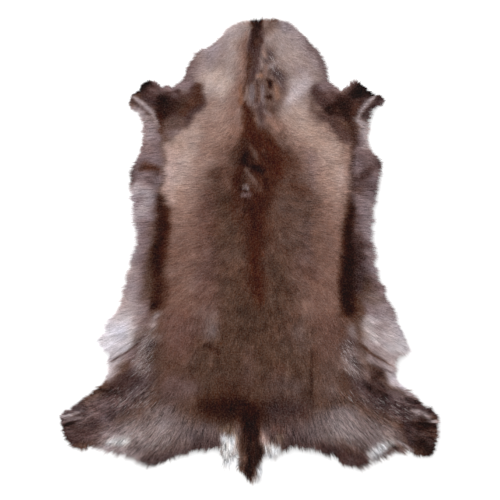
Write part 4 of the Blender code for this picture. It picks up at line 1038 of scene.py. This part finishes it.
def paintCoat(mesh, x, y):
    placeX, placeY = photoPlace(x, y)
    colours = np.column_stack([toned(coatColour(placeX, placeY)), np.ones(len(x))])
    addAttribute(mesh, "coat", "FLOAT_COLOR", colours)
    addAttribute(mesh, "grizzle", "FLOAT", coatPaleness(placeX, placeY))


# Hair: each kind grows on its own zone of the undercoat, as flat tapered blades combed along the coat.
# Strands to a square metre, then sizes in metres, radians and shares.
commonHair = {"Length": 1.0, "Unevenness": 0.3, "Width": 0.0011, "Lift": 0.0065, "Tuft Width": 0.009,
              "Tuft Pull": 0.5, "Raggedness": 0.35, "Sway": 0.16, "Roll": 0.5, "Clump Shade": 0.3,
              "Strand Shade": 0.35, "Fray": 0.0012}
hairKinds = {
    "neckHair": {"Per Square Metre": 360000.0, "Tuft Pull": 0.3, "Sway": 0.35, "Strand Shade": 0.25,
                 "Clump Shade": 0.15},
    "backHair": {"Per Square Metre": 300000.0, "Sway": 0.3, "Width": 0.0012},
    "croupHair": {"Per Square Metre": 320000.0, "Sway": 0.35, "Width": 0.0012},
    "sideHair": {"Per Square Metre": 320000.0, "Tuft Width": 0.011, "Tuft Pull": 0.6, "Strand Shade": 0.45},
    "hamHair": {"Per Square Metre": 340000.0, "Tuft Width": 0.012, "Tuft Pull": 0.7, "Strand Shade": 1.3,
                "Clump Shade": 0.4},
    "rimHair": {"Per Square Metre": 440000.0, "Length": 0.75, "Unevenness": 0.5, "Width": 0.0008,
                "Lift": 0.004, "Tuft Width": 0.011, "Tuft Pull": 0.6, "Raggedness": 0.9, "Sway": 0.3,
                "Strand Shade": 0.7},
}

# Where each kind grows, as strokes or limits in the photograph's pixels, and what the rim does to the hair
hairZones = {
    "neck": [(226, 40, 44), (284, 40, 44), (214, 84, 38), (300, 84, 38)],
    "ham": [(84, 432, 36), (140, 430, 50), (200, 448, 30), (300, 448, 30), (356, 430, 50), (416, 432, 36)],
    "soft": 8, "middleX": 257, "sideStart": 88, "sideEnd": 96, "croupStart": 268, "croupEnd": 282,
    "rimBand": (0.007, 0.011),   # metres inside the rim over which its own hair thins out
    "rimComb": 0.03,             # metres inside the rim over which the hair turns outwards
    "rimLean": (0.3, 0.7),       # share of the coat's own combing there, against and along the way out
    "leanTurn": 0.4,             # combing that goes so much along or against the way out has either share
    "rimLength": (1.1, 0.95),    # shares of the locks' reach and of the distance to the rim
}

# Longer or, below one, shorter hair at the rim: name, how many times, softness and stroke as for the marks
rimTufts = [
    ("nape", 0.5, 7, [(238, 16, 8), (262, 12, 8), (284, 16, 8)]),
    ("leftElbowHigh", 4.5, 2, [(145, 131, 2.6)]), ("leftElbow", 4, 2, [(144, 138.5, 2.6)]),
    ("leftElbowLow", 3, 2, [(141, 148, 3)]), ("leftElbowGap", 0.3, 2, [(144, 143.5, 1.6)]),
    ("leftFlank", 0.5, 6, [(132, 236, 5), (126, 266, 6), (120, 300, 6)]),
    ("rightFlank", 0.55, 6, [(374, 250, 6), (384, 280, 6), (392, 304, 5)]),
    ("rightElbowHigh", 2.2, 2, [(369, 126, 3.4)]), ("rightElbow", 2.4, 2, [(370, 138, 2.6)]),
    ("rightElbowGap", 0.3, 2, [(370, 132.5, 1.6)]), ("rightElbowEnd", 0.4, 2, [(370, 144, 2)]),
    ("rightChest", 0.5, 4, [(377, 172, 5)]),
    ("shanks", 0.4, 4, [(136, 92, 6), (150, 80, 6)]), ("rightShank", 0.4, 4, [(360, 80, 6), (382, 96, 6)]),
    ("leftBelly", 2.4, 5, [(112, 318, 6), (104, 332, 7), (103, 343, 4)]),
    ("leftGroin", 0.4, 3, [(109, 353, 4)]),
    ("rightBelly", 2.0, 6, [(404, 330, 6), (412, 346, 6)]),
    ("leftHind", 0.3, 5, [(60, 410, 6), (62, 440, 6), (76, 452, 6)]),
    ("rightHind", 0.3, 5, [(436, 412, 6), (440, 440, 6), (424, 460, 6)]),
    ("leftHam", 1.8, 5, [(100, 445, 5), (126, 450, 6), (150, 462, 6)]),
    ("rightHam", 1.8, 4, [(396, 448, 4), (382, 452, 4)]), ("rightHamSide", 0.7, 3, [(368, 456, 4)]),
    ("rightHeel", 0.6, 3, [(407, 448, 4)]),
    ("leftSeat", 0.45, 4, [(172, 456, 5), (190, 449, 4), (219, 447, 5)]),
    ("rightSeat", 0.4, 4, [(280, 450, 4), (306, 446, 4), (332, 454, 4)]),
    ("leftTail", 2.4, 3, [(228, 457, 4), (235, 458, 4)]), ("rightTail", 2.4, 3, [(268, 455, 4)]),
    ("rightTailGap", 0.45, 3, [(278, 450, 3)]),
    ("tail", 1.8, 5, [(262, 478, 5), (257, 486, 5)]),
    ("leftNape", 2.2, 2, [(212, 43, 3)]), ("leftNeck", 2.2, 2.5, [(198, 50, 4)]),
    ("leftNeckLow", 2.2, 3, [(182, 84, 5)]),
    ("rightNape", 2.2, 2, [(314, 40, 3)]), ("rightNeck", 1.6, 3, [(325, 61, 3)]),
    ("rightNapeGap", 0.4, 2, [(306, 38, 2.4)]),
]


def guideHair(mesh, x, y, away, outX, outY, reach, onTop):  # what the strands read where they grow
    placeX, placeY = photoPlace(x, y)
    across, down, length = combAt(placeX, placeY)
    against, along = hairZones["rimLean"]
    turn = hairZones["leanTurn"]
    lean = against + (along - against) * smooth(across * outX - down * outY, -turn, turn)
    edge = 1.0 - smooth(away, 0.0, hairZones["rimComb"])
    combX = across * (1 - edge) + (outX * (1 - lean) + across * lean) * edge
    combY = -down * (1 - edge) + (outY * (1 - lean) - down * lean) * edge
    size = np.hypot(combX, combY) + tiny
    combs = np.column_stack([combX / size, combY / size, np.zeros(len(x))])
    addAttribute(mesh, "comb", "FLOAT_VECTOR", combs)
    for _, longer, soft, points in rimTufts:
        reach = reach * (1 + (longer - 1) * strokeMask(placeX, placeY, points, soft))
    reachShare, awayShare = hairZones["rimLength"]
    addAttribute(mesh, "hairLength", "FLOAT", np.minimum(length, reachShare * reach + awayShare * away))
    neck = strokeMask(placeX, placeY, hairZones["neck"], hairZones["soft"])
    ham = strokeMask(placeX, placeY, hairZones["ham"], hairZones["soft"]) * (1 - neck)
    rest = (1 - neck) * (1 - ham)
    side = smooth(np.abs(placeX - hairZones["middleX"]), hairZones["sideStart"], hairZones["sideEnd"])
    croup = smooth(placeY, hairZones["croupStart"], hairZones["croupEnd"])
    back = rest * (1 - side)
    zones = {"neckHair": neck, "hamHair": ham, "sideHair": rest * side, "backHair": back * (1 - croup),
             "croupHair": back * croup, "rimHair": 1.0 - smooth(away, *hairZones["rimBand"])}
    for name, share in zones.items():
        addAttribute(mesh, name, "FLOAT", share * onTop)


# A flat net over the whole coat, from which every point of a hair takes the colour of its place
colourNet = {"pitch": 0.0026, "margin": 0.04}


def buildColourNet():
    low, high = (Vector(corner) for corner in cadBox)
    pitch, margin = colourNet["pitch"], colourNet["margin"]
    columns = np.arange(low.x - margin, high.x + margin, pitch)
    rows = np.arange(low.y - margin, high.y + margin, pitch)
    x, y = (values.ravel() for values in np.meshgrid(columns, rows))
    corners = np.arange(len(x)).reshape(len(rows), len(columns))
    faces = np.stack([corners[:-1, :-1], corners[:-1, 1:], corners[1:, 1:], corners[1:, :-1]], -1)
    mesh = bpy.data.meshes.new("colourNet")
    verts = np.column_stack([x, y, np.zeros(len(x))])
    mesh.from_pydata(verts.tolist(), [], faces.reshape(-1, 4).tolist())
    paintCoat(mesh, x, y)
    return placed("colourNet", mesh)


# Sections of a hair from root to tip: share of the length, of the width and of the lift
bladeSections = [(0.0, 1.0, 0.0), (0.5, 0.85, 0.8), (1.0, 0.0, 1.0)]


def hairBlade(sections):
    verts, faces = [], []
    for along, wide, rise in sections[:-1]:
        verts += [(-wide / 2, along, rise), (wide / 2, along, rise)]
    verts.append((0, sections[-1][0], sections[-1][2]))
    for low in range(0, len(verts) - 3, 2):
        faces.append((low, low + 1, low + 3, low + 2))
    faces.append((len(verts) - 3, len(verts) - 2, len(verts) - 1))
    mesh = bpy.data.meshes.new("hairBlade")
    mesh.from_pydata(verts, [], faces)
    mesh.shade_smooth()
    addAttribute(mesh, "alongHair", "FLOAT", [vert[1] for vert in verts])
    return placed("hairBlade", mesh)


# Painted shade of the hair, darker at the root than at the tip, with fine grain, and pale flecks where pale
# hairs are mixed in
hairShade = {"roughness": 0.85, "shine": 0.02, "root": 0.8, "tip": 1.36, "darkest": 0.03, "evenPower": 1.4,
             "detail": 2.0, "grainScale": 270.0, "grain": (-0.058, 0.058, 0.3, 0.7),
             "fleckScale": 300.0, "fleckRange": (0.0, 1.0, 0.48, 0.72), "flecks": (0.0, 0.6)}
# Which sockets of a mixing node take the two values and give the mixed one, for colours and for vectors
mixSockets = {"RGBA": (6, 7, 2), "VECTOR": (4, 5, 1)}


def hairMaterial():
    material, nodes, links, shader = newMaterial("hair", hairShade["roughness"], hairShade["shine"])

    def attribute(name):
        node = nodes.new("ShaderNodeAttribute")
        node.attribute_name = name
        return node.outputs

    def scaled(colour, factor):
        node = nodes.new("ShaderNodeVectorMath")
        node.operation = "SCALE"
        links.new(colour, node.inputs[0])
        links.new(factor, node.inputs["Scale"])
        return node.outputs[0]

    def powered(colour, power):  # grain that is even to the eye is added between two of these
        node = nodes.new("ShaderNodeGamma")
        links.new(colour, node.inputs["Color"])
        node.inputs["Gamma"].default_value = power
        return node.outputs[0]

    def combined(operation, colour, other):
        node = nodes.new("ShaderNodeVectorMath")
        node.operation = operation
        links.new(colour, node.inputs[0])
        if isinstance(other, float):
            node.inputs[1].default_value = (other,) * 3
        else:
            links.new(other, node.inputs[1])
        return node.outputs[0]

    def noise(scale, limits):
        return addRange(nodes, links, addNoise(nodes, links, scale, hairShade["detail"]), *limits)

    # painted shade: each hair is darker at its root than at its tip
    shade = addRange(nodes, links, attribute("alongHair")["Fac"], hairShade["root"], hairShade["tip"])
    tint = scaled(attribute("coat")["Color"], shade)
    grain = noise(hairShade["grainScale"], hairShade["grain"])
    tint = combined("ADD", powered(tint, 1 / hairShade["evenPower"]), grain)
    tint = powered(combined("MAXIMUM", tint, hairShade["darkest"]), hairShade["evenPower"])
    fleck = nodes.new("ShaderNodeMath")
    fleck.operation = "MULTIPLY"
    links.new(noise(hairShade["fleckScale"], hairShade["fleckRange"]), fleck.inputs[0])
    links.new(addRange(nodes, links, attribute("paleness")["Fac"], *hairShade["flecks"]), fleck.inputs[1])
    mixed = nodes.new("ShaderNodeMix")
    mixed.data_type = "RGBA"
    first, second, result = mixSockets["RGBA"]
    links.new(fleck.outputs[0], mixed.inputs["Factor"])
    links.new(tint, mixed.inputs[first])
    mixed.inputs[second].default_value = (*linear(hairColours["paleHair"]), 1.0)
    links.new(mixed.outputs[result], shader.inputs["Base Color"])
    return material


# How single hairs differ, from least to most, and what keeps them within bounds
hairSpread = {
    "length": (-1.0, 2.0), "lengthPower": 2.0,     # most hairs are near the least
    "width": (0.7, 1.3), "lift": (0.15, 1.0), "roll": (-1.0, 1.0),
    "shade": (-0.5, 0.5), "leastShade": 0.3,
    "flat": ((-1, -1, 0), (1, 1, 0)),              # for the sway and the fray, along the floor
    "tuftMiddle": 0.5,                             # a tuft's own chances lie round this
    "leastLength": 0.002,                          # of a hair that is drawn into its tuft
    "floor": 0.0005,                               # no point of a hair is lower
    "paleShare": 0.5,                              # how far a pale hair is drawn to the pale colour
}
chanceSalts = {"sway": 1, "roll": 2, "length": 3, "width": 4, "lift": 5, "shade": 6, "choice": 7, "fray": 8}
hairSeeds = {"first": 7, "step": 100}
flatMap = {"scale": 0.75, "middle": 0.5}           # of the map from above, to a metre and at the origin
# What the undercoat tells the hair where it grows, and what each hair keeps only until it is coloured
guideValues = ["comb", "hairLength", "grizzle"] + list(hairKinds)
hairValues = ["shade", "choice", "fray"]


class StrandTree:  # one tree of nodes for every kind of hair, with its sizes as named inputs
    inputs = (("Geometry", "Geometry"), ("Zone", "String"), ("Per Square Metre", "Float"), ("Seed", "Int"),
              ("Blade", "Object"), ("Colours", "Object"), ("Hair", "Material"), ("Length", "Float"),
              ("Unevenness", "Float"), ("Width", "Float"), ("Lift", "Float"), ("Tuft Width", "Float"),
              ("Tuft Pull", "Float"), ("Raggedness", "Float"), ("Sway", "Float"), ("Roll", "Float"),
              ("Clump Shade", "Float"), ("Strand Shade", "Float"), ("Fray", "Float"))

    def __init__(self):
        self.tree = bpy.data.node_groups.new("hairStrands", "GeometryNodeTree")
        self.nodes, self.links, self.sockets = self.tree.nodes, self.tree.links, {}
        interface = self.tree.interface
        for label, kind in self.inputs:
            socket = interface.new_socket(label, in_out="INPUT", socket_type="NodeSocket" + kind)
            self.sockets[label] = socket.identifier
        interface.new_socket("Geometry", in_out="OUTPUT", socket_type="NodeSocketGeometry")
        self.given = self.nodes.new("NodeGroupInput").outputs
        planted = self.planted()
        grown = self.node("GeometryNodeRealizeInstances", planted)
        laid = self.laid(grown.outputs[0])
        self.finish(self.coloured(laid))

    def node(self, kind, *sources, **settings):  # a node with its inputs linked in order, or set
        node = self.nodes.new(kind)
        for name, value in settings.items():
            setattr(node, name, value)
        for socket, source in zip([socket for socket in node.inputs if socket.enabled], sources):
            if isinstance(source, bpy.types.NodeSocket):
                self.links.new(source, socket)
            elif source is not None:
                socket.default_value = source
        return node

    def maths(self, operation, *values):
        return self.node("ShaderNodeMath", *values, operation=operation).outputs[0]

    def vector(self, operation, *values):
        return self.node("ShaderNodeVectorMath", *values, operation=operation).outputs[0]

    def scaled(self, vector, factor):
        node = self.node("ShaderNodeVectorMath", vector, operation="SCALE")
        self.links.new(factor, node.inputs["Scale"])
        return node.outputs[0]

    def attribute(self, name, kind):
        return self.node("GeometryNodeInputNamedAttribute", name, data_type=kind).outputs["Attribute"]

    def flatPlace(self):  # where a point is, seen from above
        place = self.node("GeometryNodeInputPosition").outputs[0]
        return self.vector("MULTIPLY", place, (1.0, 1.0, 0.0))

    def chance(self, name, low, high, kind="FLOAT"):
        node = self.node("FunctionNodeRandomValue", low, high, data_type=kind)
        self.links.new(self.maths("ADD", self.given["Seed"], chanceSalts[name]), node.inputs["Seed"])
        return next(socket for socket in node.outputs if socket.enabled)

    def stored(self, geometry, name, value, kind="FLOAT", domain="POINT"):
        node = self.node("GeometryNodeStoreNamedAttribute", geometry, None, name, value,
                         data_type=kind, domain=domain)
        return node.outputs[0]

    def planted(self):  # blades standing on the zone, turned along the combing and drawn into tufts
        given = self.given
        zone = self.attribute(given["Zone"], "FLOAT")
        scatter = self.node("GeometryNodeDistributePointsOnFaces", distribute_method="RANDOM")
        self.links.new(given["Geometry"], scatter.inputs["Mesh"])
        self.links.new(self.maths("MULTIPLY", zone, given["Per Square Metre"]), scatter.inputs["Density"])
        self.links.new(given["Seed"], scatter.inputs["Seed"])

        flat = self.flatPlace()
        tufts = self.node("ShaderNodeTexVoronoi", voronoi_dimensions="2D")
        self.links.new(self.vector("DIVIDE", flat, given["Tuft Width"]), tufts.inputs["Vector"])
        tufts.inputs["Scale"].default_value = 1.0
        tuftChance = self.node("ShaderNodeSeparateXYZ", tufts.outputs["Color"]).outputs
        pull = self.vector("SUBTRACT", self.scaled(tufts.outputs["Position"], given["Tuft Width"]), flat)

        # hairs of one tuft share part of their length and head for one point
        longer = self.maths("SUBTRACT", tuftChance[0], hairSpread["tuftMiddle"])
        ragged = self.maths("MULTIPLY_ADD", longer, given["Raggedness"], 1.0)
        length = self.maths("MULTIPLY", self.attribute("hairLength", "FLOAT"), given["Length"])
        chance = self.maths("POWER", self.chance("length", 0.0, 1.0), hairSpread["lengthPower"])
        least, most = hairSpread["length"]
        spread = self.maths("MULTIPLY_ADD", chance, most - least, least)
        uneven = self.maths("MULTIPLY_ADD", spread, given["Unevenness"], 1.0)
        length = self.maths("MULTIPLY", self.maths("MULTIPLY", length, ragged), uneven)
        drawnLength = self.maths("MAXIMUM", length, hairSpread["leastLength"])
        towards = self.scaled(pull, self.maths("DIVIDE", given["Tuft Pull"], drawnLength))
        swayed = self.scaled(self.chance("sway", *hairSpread["flat"], "FLOAT_VECTOR"), given["Sway"])
        heading = self.vector("ADD", self.attribute("comb", "FLOAT_VECTOR"), towards)
        heading = self.vector("ADD", heading, swayed)

        upright = self.node("FunctionNodeAlignRotationToVector", axis="Z")
        self.links.new(scatter.outputs["Normal"], upright.inputs["Vector"])
        combed = self.node("FunctionNodeAlignRotationToVector", axis="Y", pivot_axis="Z")
        self.links.new(upright.outputs[0], combed.inputs["Rotation"])
        self.links.new(heading, combed.inputs["Vector"])
        angle = self.maths("MULTIPLY", self.chance("roll", *hairSpread["roll"]), given["Roll"])
        roll = self.node("ShaderNodeCombineXYZ", 0.0, angle)
        rollTurn = self.node("FunctionNodeEulerToRotation", roll.outputs[0])
        rolled = self.node("FunctionNodeRotateRotation", combed.outputs[0], rotation_space="LOCAL")
        self.links.new(rollTurn.outputs[0], rolled.inputs["Rotate By"])
        width = self.maths("MULTIPLY", given["Width"], self.chance("width", *hairSpread["width"]))
        lift = self.maths("MULTIPLY", given["Lift"], self.chance("lift", *hairSpread["lift"]))
        size = self.node("ShaderNodeCombineXYZ", width, length, lift)

        # lighter and darker tufts and hairs; the pale ones are chosen where they are coloured
        lighter = self.maths("SUBTRACT", tuftChance[1], hairSpread["tuftMiddle"])
        clump = self.maths("MULTIPLY", lighter, given["Clump Shade"])
        single = self.maths("MULTIPLY", self.chance("shade", *hairSpread["shade"]), given["Strand Shade"])
        shade = self.maths("ADD", self.maths("ADD", clump, single), 1.0)
        shade = self.maths("MAXIMUM", shade, hairSpread["leastShade"])
        points = self.stored(scatter.outputs["Points"], "shade", shade)
        points = self.stored(points, "choice", self.chance("choice", 0.0, 1.0))
        fray = self.scaled(self.chance("fray", *hairSpread["flat"], "FLOAT_VECTOR"), given["Fray"])
        points = self.stored(points, "fray", fray, "FLOAT_VECTOR")
        blade = self.node("GeometryNodeObjectInfo")
        self.links.new(given["Blade"], blade.inputs["Object"])
        instances = self.node("GeometryNodeInstanceOnPoints", points)
        self.links.new(blade.outputs["Geometry"], instances.inputs["Instance"])
        self.links.new(rolled.outputs[0], instances.inputs["Rotation"])
        self.links.new(size.outputs[0], instances.inputs["Scale"])
        return instances.outputs[0]

    def laid(self, geometry):  # no hair goes through the floor
        place = self.node("GeometryNodeInputPosition").outputs[0]
        spot = self.node("ShaderNodeSeparateXYZ", place).outputs
        height = self.maths("MAXIMUM", spot[2], hairSpread["floor"])
        lifted = self.node("ShaderNodeCombineXYZ", spot[0], spot[1], height)
        node = self.node("GeometryNodeSetPosition", geometry)
        self.links.new(lifted.outputs[0], node.inputs["Position"])
        return node.outputs[0]

    def fromNet(self, name, kind):  # an attribute of the colour net below each point of a hair
        net = self.node("GeometryNodeObjectInfo")
        self.links.new(self.given["Colours"], net.inputs["Object"])
        frayed = self.vector("ADD", self.flatPlace(), self.attribute("fray", "FLOAT_VECTOR"))
        sample = self.node("GeometryNodeSampleNearestSurface", data_type=kind)
        self.links.new(net.outputs["Geometry"], sample.inputs["Mesh"])
        self.links.new(self.attribute(name, kind), sample.inputs["Value"])
        self.links.new(frayed, sample.inputs["Sample Position"])
        return sample.outputs[0]

    def coloured(self, geometry):
        paleness = self.fromNet("grizzle", "FLOAT")
        geometry = self.stored(geometry, "paleness", paleness)
        shaded = self.scaled(self.fromNet("coat", "FLOAT_COLOR"), self.attribute("shade", "FLOAT"))
        isPale = self.maths("LESS_THAN", self.attribute("choice", "FLOAT"), paleness)
        mixed = self.node("ShaderNodeMix", data_type="VECTOR")
        first, second, result = mixSockets["VECTOR"]
        self.links.new(self.maths("MULTIPLY", isPale, hairSpread["paleShare"]), mixed.inputs["Factor"])
        self.links.new(shaded, mixed.inputs[first])
        mixed.inputs[second].default_value = linear(hairColours["paleHair"])
        return self.stored(geometry, "coat", mixed.outputs[result], "FLOAT_COLOR")

    def finish(self, geometry):  # a flat map from above, and no more attributes than the hair needs
        place = self.node("GeometryNodeInputPosition").outputs[0]
        shifted = self.vector("MULTIPLY_ADD", place, (flatMap["scale"],) * 3, (flatMap["middle"],) * 3)
        geometry = self.stored(geometry, "OFBake", shifted, "FLOAT2", "CORNER")
        for name in guideValues + hairValues:
            geometry = self.node("GeometryNodeRemoveAttribute", geometry, None, name).outputs[0]
        node = self.node("GeometryNodeSetMaterial", geometry)
        self.links.new(self.given["Hair"], node.inputs["Material"])
        self.links.new(node.outputs[0], self.nodes.new("NodeGroupOutput").inputs[0])


def growHair(name, guide, strands, settings):
    grower = placed(name + "Grower", guide.data)
    modifier = grower.modifiers.new("strands", "NODES")
    modifier.node_group = strands.tree
    for label, value in settings.items():
        modifier[strands.sockets[label]] = value
    depsgraph = bpy.context.evaluated_depsgraph_get()
    mesh = bpy.data.meshes.new_from_object(grower.evaluated_get(depsgraph), preserve_all_data_layers=True,
                                           depsgraph=depsgraph)
    mesh.name = name
    piece = placed(name, mesh)
    bpy.data.objects.remove(grower, do_unlink=True)
    print(name, sum(len(face.vertices) - 2 for face in mesh.polygons), "triangles")
    return piece


def buildHair(guide):
    blade = hairBlade(bladeSections)
    net = buildColourNet()
    strands = StrandTree()
    hair = hairMaterial()
    pieces = []
    for index, (name, sizes) in enumerate(hairKinds.items()):
        seed = hairSeeds["first"] + hairSeeds["step"] * index
        settings = {"Zone": name, "Seed": seed, "Blade": blade, "Colours": net, "Hair": hair}
        pieces.append(growHair(name, guide, strands, {**settings, **commonHair, **sizes}))
    for helper in (blade, net):
        bpy.data.objects.remove(helper, do_unlink=True)
    for name in guideValues:
        guide.data.attributes.remove(guide.data.attributes[name])
    return pieces


skinPiece, skinArea = buildSkin()
print("skin of", round(skinArea, 3), "square metres")
undercoatPiece = buildUndercoat()
print("undercoat", len(undercoatPiece.data.polygons), "faces")
hairPieces = buildHair(undercoatPiece)
for piece in [skinPiece, undercoatPiece] + hairPieces:
    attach(piece, "root")
    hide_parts("hide")


# Plain floor, soft light from above and the camera straight over the hide
studio = {"floorSide": 12.0, "floorColour": 0.95, "floorRoughness": 0.9, "floorShine": 0.0,
          "floorDrop": 0.0002,    # the floor lies this far below the skin
          "softboxPower": 150.0, "softboxSize": 3.5, "softboxPlace": (-1.8, 2.4, 3.4), "world": 0.8,
          "cameraHeight": 4.0, "sensor": 36.0}


def buildFloor():
    half = studio["floorSide"] / 2
    mesh = bpy.data.meshes.new("floor")
    corners = [(-half, -half, 0), (half, -half, 0), (half, half, 0), (-half, half, 0)]
    mesh.from_pydata(corners, [], [(0, 1, 2, 3)])
    material, _, _, shader = newMaterial("floor", studio["floorRoughness"], studio["floorShine"])
    shader.inputs["Base Color"].default_value = (studio["floorColour"],) * 3 + (1,)
    mesh.materials.append(material)
    floor = placed("floor", mesh)
    floor.location.z = -studio["floorDrop"]


def buildLights():
    scene = bpy.context.scene
    scene.world = bpy.data.worlds.new("studio")
    scene.world.use_nodes = True
    background = scene.world.node_tree.nodes["Background"]
    background.inputs["Color"].default_value = (1, 1, 1, 1)
    background.inputs["Strength"].default_value = studio["world"]
    light = bpy.data.lights.new("softbox", "AREA")
    light.energy = studio["softboxPower"]
    light.size = studio["softboxSize"]
    softbox = placed("softbox", light)
    softbox.location = studio["softboxPlace"]
    softbox.rotation_euler = (-softbox.location).to_track_quat("-Z", "Y").to_euler()


def buildCamera():
    scene = bpy.context.scene
    lens = bpy.data.cameras.new("camera")
    lens.sensor_width = studio["sensor"]
    lens.lens = studio["sensor"] * studio["cameraHeight"] / (photo["side"] * photo["pixel"])
    camera = placed("camera", lens)
    middle = photo["side"] / 2
    camera.location = ((middle - photo["middleX"]) * photo["pixel"],
                       (photo["middleY"] - middle) * photo["pixel"], studio["cameraHeight"])
    scene.camera = camera
    scene.view_settings.view_transform = "Standard"


buildFloor()
buildLights()
buildCamera()
print("floor, light and camera in place")
